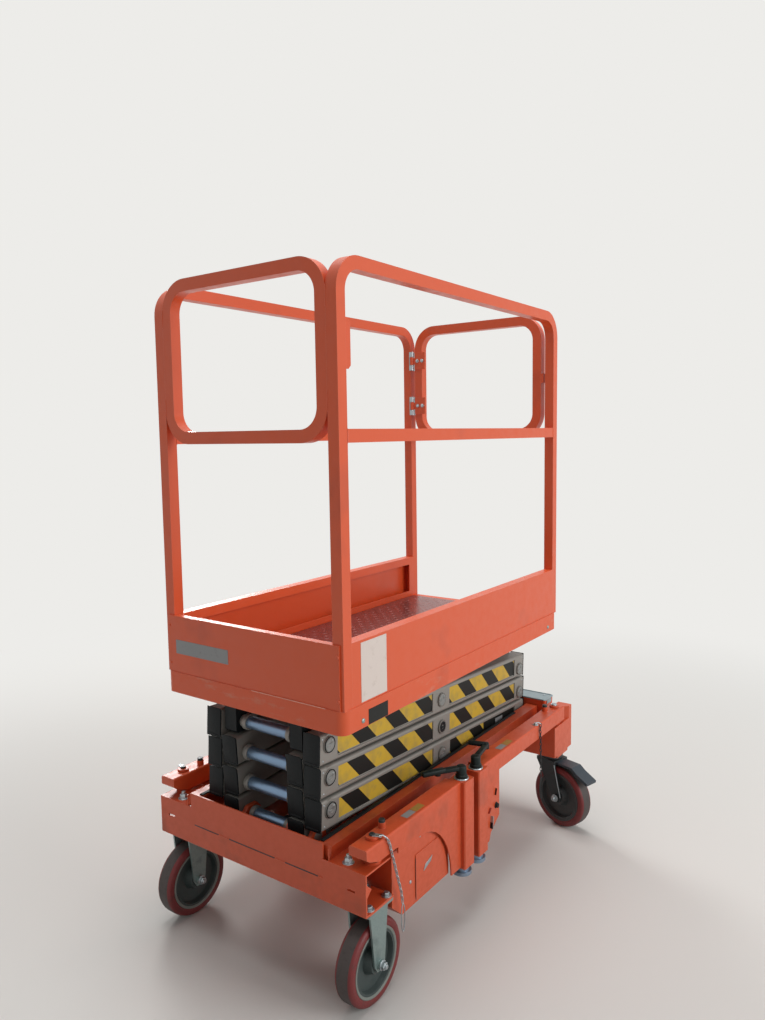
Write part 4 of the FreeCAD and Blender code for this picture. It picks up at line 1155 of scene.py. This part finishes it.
@dataclass
class Castor:
    """One wheel with its tread, centre and fork, rigid at the near end and swivelling at the gate end."""

    side: int
    swivel: bool
    wheel_r: float = 100.0
    half_wide: float = 25.0
    reach_x: float = 519.0
    reach_y: float = 305.0
    trail: float = 48.0
    heading: tuple[float, float] = (-0.27, 0.963)

    @property
    def tag(self) -> str:
        """Name of its side."""
        return "left" if self.side > 0 else "right"

    def centre(self) -> tuple[Vector, Vector]:
        """Wheel centre and axle direction at rest.

        Returns:
            The centre in millimetres and the unit axle direction.
        """
        if not self.swivel:
            return Vector((-self.reach_x, self.side * self.reach_y, self.wheel_r)), Vector((0, 1, 0))
        back = Vector((self.heading[0], self.heading[1] * self.side, 0)).normalized()
        centre = Vector((self.reach_x, self.side * self.reach_y, self.wheel_r)) + back * self.trail
        return centre, Vector((-back.y, back.x, 0))

    def build(self) -> None:
        """Replaces the plain tyre, dresses the hub and forks and adds nuts, rims and seals."""
        end = "far" if self.swivel else "near"
        centre, axle = self.centre()
        wheel = f"wheel_{end}_{self.tag}"
        w = self.half_wide
        tyre = Form()
        half = [(80, w - 1.5), (84, w), (90, w), (95.0, w - 1.6), (98.2, w - 5), (99.3, w - 9)]
        tyre.turned(half + [(r, -s) for r, s in half[::-1]], centre, axle, 80, closed=True)
        tyre.place(f"rolled_tread_{end}_{self.tag}", wheel, TREAD, [f"tyre_{end}_{self.tag}"])
        crown = [(98.9, w - 9), (99.6, w - 9.2), (99.9, w - 13), (100, w - 17)]
        band = Form().turned(crown + [(r, -s) for r, s in crown[::-1]], centre, axle, 80, closed=True)
        # the rolling band's dark grey is painted shade on the rolling face
        band.place(f"rolling_band_{end}_{self.tag}", wheel, TREAD_BAND_SHADE)
        hub = NYLON if self.swivel else NYLON_GREY
        dress(hub, f"hub_{end}_{self.tag}")
        rims = Form()
        for s in (-1, 1):
            lip = [(73, 0), (79.6, 0), (79.6, 2.0), (77.5, 2.8), (74, 1.6)]
            rims.turned(lip, centre + axle * (s * (w - 3)), axle * s, 64, closed=True)
        rims.place(f"hub_rims_{end}_{self.tag}", wheel, hub if self.swivel else NYLON_LIP)
        fork_body = f"swivel_{self.tag}" if self.swivel else "base"
        nuts = Form()
        for s in (-1, 1):
            nuts.hexagon(centre + axle * (s * 40), axle * s, 17, 8, 12)
            nuts.turned([(0, 0), (5.5, 0), (5.5, 12.4), (4.6, 13.4), (0, 13.4)], centre + axle * (s * 40),
                        axle * s, 20)
        nuts.place(f"axle_nuts_{end}_{self.tag}", fork_body, ZINC)
        if self.swivel:
            # the swivel forks take the zinc darkened with painted shade
            dress(FORK_DARK, f"swivel_fork_{self.tag}")
            dress(PEDAL, f"brake_pedal_{self.tag}")
            race = Form()
            race.turned([(30.5, 0), (35, 0.5), (36, 3), (35, 6), (30.5, 6.5)],
                        (self.reach_x, self.side * self.reach_y, 219), (0, 0, 1), 48, closed=True)
            race.place(f"bearing_seal_{self.tag}", fork_body, BLACK_STEEL)
            self.fork_edges(centre, axle, fork_body)
        else:
            dress(FORK_ZINC, f"rigid_fork_{self.tag}")

    def fork_edges(self, centre: Vector, axle: Vector, body: str) -> None:
        """Bright rolled edge down the front of each fork leg.

        Args:
            centre: wheel centre.
            axle: axle direction.
            body: the body it rides on.
        """
        back = Vector((self.heading[0], self.heading[1] * self.side, 0)).normalized()
        form = Form()
        for s in (-1, 1):
            at = axle * (s * 34.0)
            top = Vector((self.reach_x, self.side * self.reach_y, 208)) + back * 39 + at
            low = centre + back * 17.5 + at + Vector((0, 0, 4))
            form.pipe([top, low], 1.6, 8)
        form.place(f"fork_edges_{self.tag}", body, ZINC)


@dataclass
class Outrigger:
    """One swing-out arm with its jack, folding crank, lock pin, chain and labels, made on the left side."""

    near: bool
    side: int
    tube_y: float = 322.0
    tube_face: float = 347.0
    tube_top: float = 398.0
    jack_y: float = 335.0

    @property
    def tag(self) -> str:
        """Names of its end and side, as the CAD node has them."""
        return f"{'near' if self.near else 'far'}_{'left' if self.side > 0 else 'right'}"

    @property
    def jack_x(self) -> float:
        """Where the jack stands along the length."""
        return -138.0 if self.near else -60.0

    def build(self) -> None:
        """Dresses the arm and adds crank, pins, chain and labels."""
        dress(ORANGE_BASE, f"outrigger_{self.tag}")
        dress(JACK_FOOT, f"jack_screw_{self.tag}")
        self.crank()
        self.lock_pin()
        self.chain()
        self.stickers()
        self.sleeve_ring()
        if not self.near:
            self.gusset_marks()

    def mount(self, form: Form, name: str, finish: Finish, replaces: Iterable[str] = (),
              body: str | None = None, slot: Slot | None = None) -> None:
        """Places a form made on the +Y side, mirrored if this arm is on the other.

        Args:
            form: the form.
            name: piece name without the tag.
            finish: its finish.
            replaces: CAD nodes it stands for.
            body: the body it rides on, if not the arm.
            slot: passed on to place.
        """
        if self.side < 0:
            form.moved(Matrix.Scale(-1, 4, (0, 1, 0)))
            bmesh.ops.reverse_faces(form.mesh, faces=form.mesh.faces[:])
        form.place(f"{name}_{self.tag}", body or f"outrigger_{self.tag}", finish, replaces, slot)

    def crank(self) -> None:
        """Folding handle on the jack: hub, flat arm and moulded grip, for the plain CAD handle."""
        x, y, z = self.jack_x, self.jack_y, self.tube_top + 3
        form = Form()
        form.turned([(0, 0), (16, 0), (16, 7), (14.4, 8.2), (13.6, 9), (13.6, 27), (12.4, 30), (9, 32), (0,
                                                                                                         32)],
                    (x, y, z), (0, 0, 1), 36)
        if self.near:
            elbow, tip = (x - 58, y - 38, z + 26), (x - 100, y - 60, z + 28)
            form.bar((x + 6, y + 4, z + 25), elbow, 17, 11, 2.4)
            form.bar((x - 40, y - 27, z + 27), tip, 19, 13, 4.0)
            form.turned([(0, 0), (8.5, 0), (8.5, 15), (7, 17), (0, 17)], (elbow[0], elbow[1], z + 16), (0,
                                                                                                        0, 1), 24)
        else:
            elbow, tip = (x + 86, y - 14, z + 28), (x + 70, y - 62, z + 31)
            form.bar((x - 8, y + 1, z + 25), elbow, 15, 11, 2.4)
            form.bar((elbow[0] + 2, elbow[1] + 6, z + 29), tip, 15, 13, 4.0)
            form.turned([(0, 0), (8.5, 0), (8.5, 15), (7, 17), (0, 17)], (elbow[0], elbow[1], z + 18), (0,
                                                                                                        0, 1), 24)
        self.mount(form, "crank_handle", VINYL_GRIP, [f"crank_{self.tag}"])

    def lock_pin(self) -> None:
        """Low head of the lock pin, with the groove that the fingers pull it by."""
        x = -468.0 if self.near else 448.0
        head = [(0, 0), (8, 0), (8, 1.5), (6.4, 2.2), (6.4, 4), (8, 4.8), (7.4, 6.5), (0, 7)]
        form = Form().turned(head, (x, self.tube_y - 10, self.tube_top + 14), (0, 0, 1), 24)
        self.mount(form, "lock_pin", BLACK_STEEL)

    def chain(self) -> None:
        """Fine chain with a long ring at its end, down past the arm's side from a lug or an eye.

        The near one hangs from a lug under the pivot screw, which stays still when the arm swings.
        """
        out = self.tube_face + 4.5
        if self.near:
            x, drop = -516.0, [(-494, 384), (-478, 334), (-463, 286), (-449, 244), (-444, 214)]
            body, lug = "base", self.tube_top + 8
        else:
            x, drop = 318.0, [(325, 385), (329, 340), (330, 296), (331, 250), (330, 228)]
            body, lug = None, self.tube_top + 6
        start = (x + 12, out, self.tube_top + 2)
        eye = Form()
        if self.near:
            eye.bar((-520, self.tube_y, lug), (x + 4, self.tube_y + 22, lug), 13, 2.4, 0.6)
        else:
            eye.hexagon((x, self.tube_face - 8, self.tube_top), (0, 0, 1), 10, 5, 9)
        eye.pipe([(x, self.tube_face - 8, lug), (x + 6, self.tube_face - 2, lug + 1), start], 1.8, 8)
        self.mount(eye, "chain_eye", ZINC, body=body)
        links = Form()
        links.chain([start] + [(px, out, pz) for px, pz in drop], 10.0, 1.2)
        low_x, low_z = drop[-1]
        loop = oval((low_x, out + 1, low_z - 36), Vector((0, 0, 34)), Vector((-7, 0, 0)), 28)
        links.pipe(loop, 1.3, 8, closed=True)
        self.mount(links, "pin_chain", ZINC if self.near else BLACK_STEEL, body=body, slot=Slot.ZINC_STEEL)

    def stickers(self) -> None:
        """Two small bare labels on top of the tube."""
        x = -400.0 if self.near else 85.0
        for k, (dx, finish) in enumerate(((0, LABEL_GREY), (40, LABEL_YELLOW))):
            form = Form().sign((x + dx, self.tube_y - 4, self.tube_top), (38, 0, 0), (0, 19, 0), (0, 0, 1))
            self.mount(form, f"tube_label_{k}", finish)

    def sleeve_ring(self) -> None:
        """Grey seat ring under the crank's hub."""
        form = Form()
        form.turned([(16.3, 0), (19.6, 0), (20, 1), (19, 3.2), (16.3, 3.2)], (self.jack_x, self.jack_y,
                                                                              self.tube_top),
                    (0, 0, 1), 36, closed=True)
        self.mount(form, "crank_seat", ZINC)

    def gusset_marks(self) -> None:
        """Slot, knob, red tag and socket on the far arm's gusset."""
        face = self.tube_face
        slot = Form().bar((28, face + 0.2, 288), (34, face + 0.2, 306), 9, 1.0, 0.3)
        slot.pipe(circle((36, face + 0.4, 255), (0, 1, 0), 7.5, 24), 1.6, 8, closed=True)
        slot.turned([(0, 0), (7.5, 0), (6.5, 7), (0, 8)], (36, face, 255), (0, 1, 0), 24)
        self.mount(slot, "gusset_knob", BLACK_PLASTIC, slot=Slot.DARK_STEEL)
        tag = Form().bar((-12, face + 0.3, 250), (0, face + 0.3, 262), 10, 1.2, 0.4)
        self.mount(tag, "gusset_red_tag", RED_MARK)
        socket = Form().bar((2, face + 0.5, 206), (6, face + 0.5, 236), 17, 2.4, 0.8)
        self.mount(socket, "gusset_socket_plate", ZINC)
        hole = Form().bar((1, face + 2.2, 201), (3, face + 2.2, 218), 12, 3.0, 0.8)
        self.mount(hole, "gusset_socket", BLACK_PLASTIC)


@dataclass
class Stage:
    """Pale floor that melts into a pale backdrop, soft lamps and the photograph's camera."""

    camera_at: Triple = (-1.8652, -1.3325, 1.3063)
    yaw_deg: float = 35.7187
    pitch_deg: float = 5.5018
    roll_deg: float = -0.8759
    focal_px: float = 777.33
    image_high: float = 1020.0
    backdrop: str = "#EDECE9"
    floor_colour: str = "#D5D3CF"
    ambient: float = 0.31
    melt_from: float = 1.1
    melt_to: float = 3.4

    def build(self) -> None:
        """Makes floor, lamps, world and camera."""
        self.floor()
        self.lamps()
        self.world()
        self.camera()
        bpy.context.scene.view_settings.view_transform = "Standard"

    def seen(self, tree: bpy.types.NodeTree) -> bpy.types.NodeSocket:
        """Says where a ray shows the backdrop: straight to the eye, in gloss or through glass.

        Args:
            tree: the tree that gets the nodes.

        Returns:
            A number that is 1 for such a ray.
        """
        path = node(tree, "ShaderNodeLightPath")
        pair = node(tree, "ShaderNodeMath", {"operation": "MAXIMUM"},
                    {0: path.outputs["Is Camera Ray"], 1: path.outputs["Is Glossy Ray"]})
        return node(tree, "ShaderNodeMath", {"operation": "MAXIMUM"},
                    {0: pair.outputs[0], 1: path.outputs["Is Transmission Ray"]}).outputs[0]

    def floor(self) -> None:
        """One large plain plane that keeps the shadow near the lift and fades to the backdrop further out."""
        mesh = bpy.data.meshes.new("studio_floor")
        size = 40.0
        mesh.from_pydata([(-size, -size, 0), (size, -size, 0), (size, size, 0), (-size, size, 0)], [], [(0,
                                                                                                         1, 2, 3)])
        floor = bpy.data.objects.new("studio_floor", mesh)
        bpy.context.scene.collection.objects.link(floor)
        material = bpy.data.materials.new("pale_floor_paint")
        material.use_nodes = True
        tree = material.node_tree
        tree.nodes.clear()
        place = node(tree, "ShaderNodeTexCoord").outputs["Object"]
        reach = node(tree, "ShaderNodeVectorMath", {"operation": "LENGTH"}, {0: place}).outputs["Value"]
        fade = node(tree, "ShaderNodeMapRange", {"interpolation_type": "SMOOTHSTEP"}, {
            "Value": reach, "From Min": self.melt_from, "From Max": self.melt_to}).outputs["Result"]
        paint = node(tree, "ShaderNodeBsdfDiffuse", inputs={"Color": linear(self.floor_colour)})
        glow = node(tree, "ShaderNodeEmission", inputs={"Color": linear(self.backdrop), "Strength": 1.0})
        amount = node(tree, "ShaderNodeMath", {"operation": "MULTIPLY"}, {0: fade, 1: self.seen(tree)})
        mixed = node(tree, "ShaderNodeMixShader", inputs={
            0: amount.outputs[0], 1: paint.outputs[0], 2: glow.outputs[0]})
        node(tree, "ShaderNodeOutputMaterial", inputs={"Surface": mixed.outputs[0]})
        mesh.materials.append(material)

    def lamps(self) -> None:
        """A key on the long side, a soft top, and a back lamp that lights the far side and the top edges."""
        for name, at, aim, power, size in (
                ("key_lamp", (0.8, -5.2, 2.3), (0.0, 0.0, 0.8), 146.0, 2.8),
                ("top_lamp", (0.3, 0.2, 5.4), (0.0, 0.0, 0.6), 142.0, 3.2),
                ("back_lamp", (2.6, 4.3, 2.9), (0.0, 0.0, 0.9), 130.0, 1.6)):
            data = bpy.data.lights.new(name, "AREA")
            data.energy = power
            data.size = size
            lamp = bpy.data.objects.new(name, data)
            lamp.location = at
            lamp.rotation_euler = (Vector(aim) - Vector(at)).to_track_quat("-Z", "Y").to_euler()
            bpy.context.scene.collection.objects.link(lamp)

    def world(self) -> None:
        """Dim even air for the light, and the pale backdrop for what the eye and metal see."""
        world = bpy.data.worlds.new("studio_air")
        bpy.context.scene.world = world
        world.use_nodes = True
        tree = world.node_tree
        tree.nodes.clear()
        dim = node(tree, "ShaderNodeBackground", inputs={"Color": linear("#FFFFFF"),
                                                         "Strength": self.ambient})
        pale = node(tree, "ShaderNodeBackground", inputs={"Color": linear(self.backdrop), "Strength": 1.0})
        mixed = node(tree, "ShaderNodeMixShader", inputs={0: self.seen(tree), 1: dim.outputs[0],
                                                          2: pale.outputs[0]})
        node(tree, "ShaderNodeOutputWorld", inputs={"Surface": mixed.outputs[0]})

    def camera(self) -> None:
        """The photograph's viewpoint, solved from the object's own straight lines."""
        yaw, pitch, roll = (math.radians(a) for a in (self.yaw_deg, self.pitch_deg, self.roll_deg))
        forward = Vector((math.cos(yaw) * math.cos(pitch), math.sin(yaw) * math.cos(pitch), -math.sin(pitch)))
        right = Vector((math.sin(yaw), -math.cos(yaw), 0))
        up = right.cross(forward)
        turned_right = right * math.cos(roll) + up * math.sin(roll)
        turned_up = up * math.cos(roll) - right * math.sin(roll)
        data = bpy.data.cameras.new("photo_camera")
        data.sensor_fit = "VERTICAL"
        data.sensor_height = 36.0
        data.lens = self.focal_px / self.image_high * 36.0
        data.clip_start = 0.05
        camera = bpy.data.objects.new("photo_camera", data)
        basis = Matrix((turned_right, turned_up, -forward)).transposed().to_4x4()
        camera.matrix_world = Matrix.Translation(self.camera_at) @ basis
        bpy.context.scene.collection.objects.link(camera)
        bpy.context.scene.camera = camera


def main() -> None:
    """Builds the stage and every sub-assembly in order."""
    logging.basicConfig(level=logging.INFO, format="%(message)s")
    Stage().build()
    Platform().build()
    ScissorStack().build()
    Chassis().build()
    for side in (-1, 1):
        for swivel in (False, True):
            Castor(side, swivel).build()
        for near in (True, False):
            Outrigger(near, side).build()


if __name__ == "__main__":
    main()
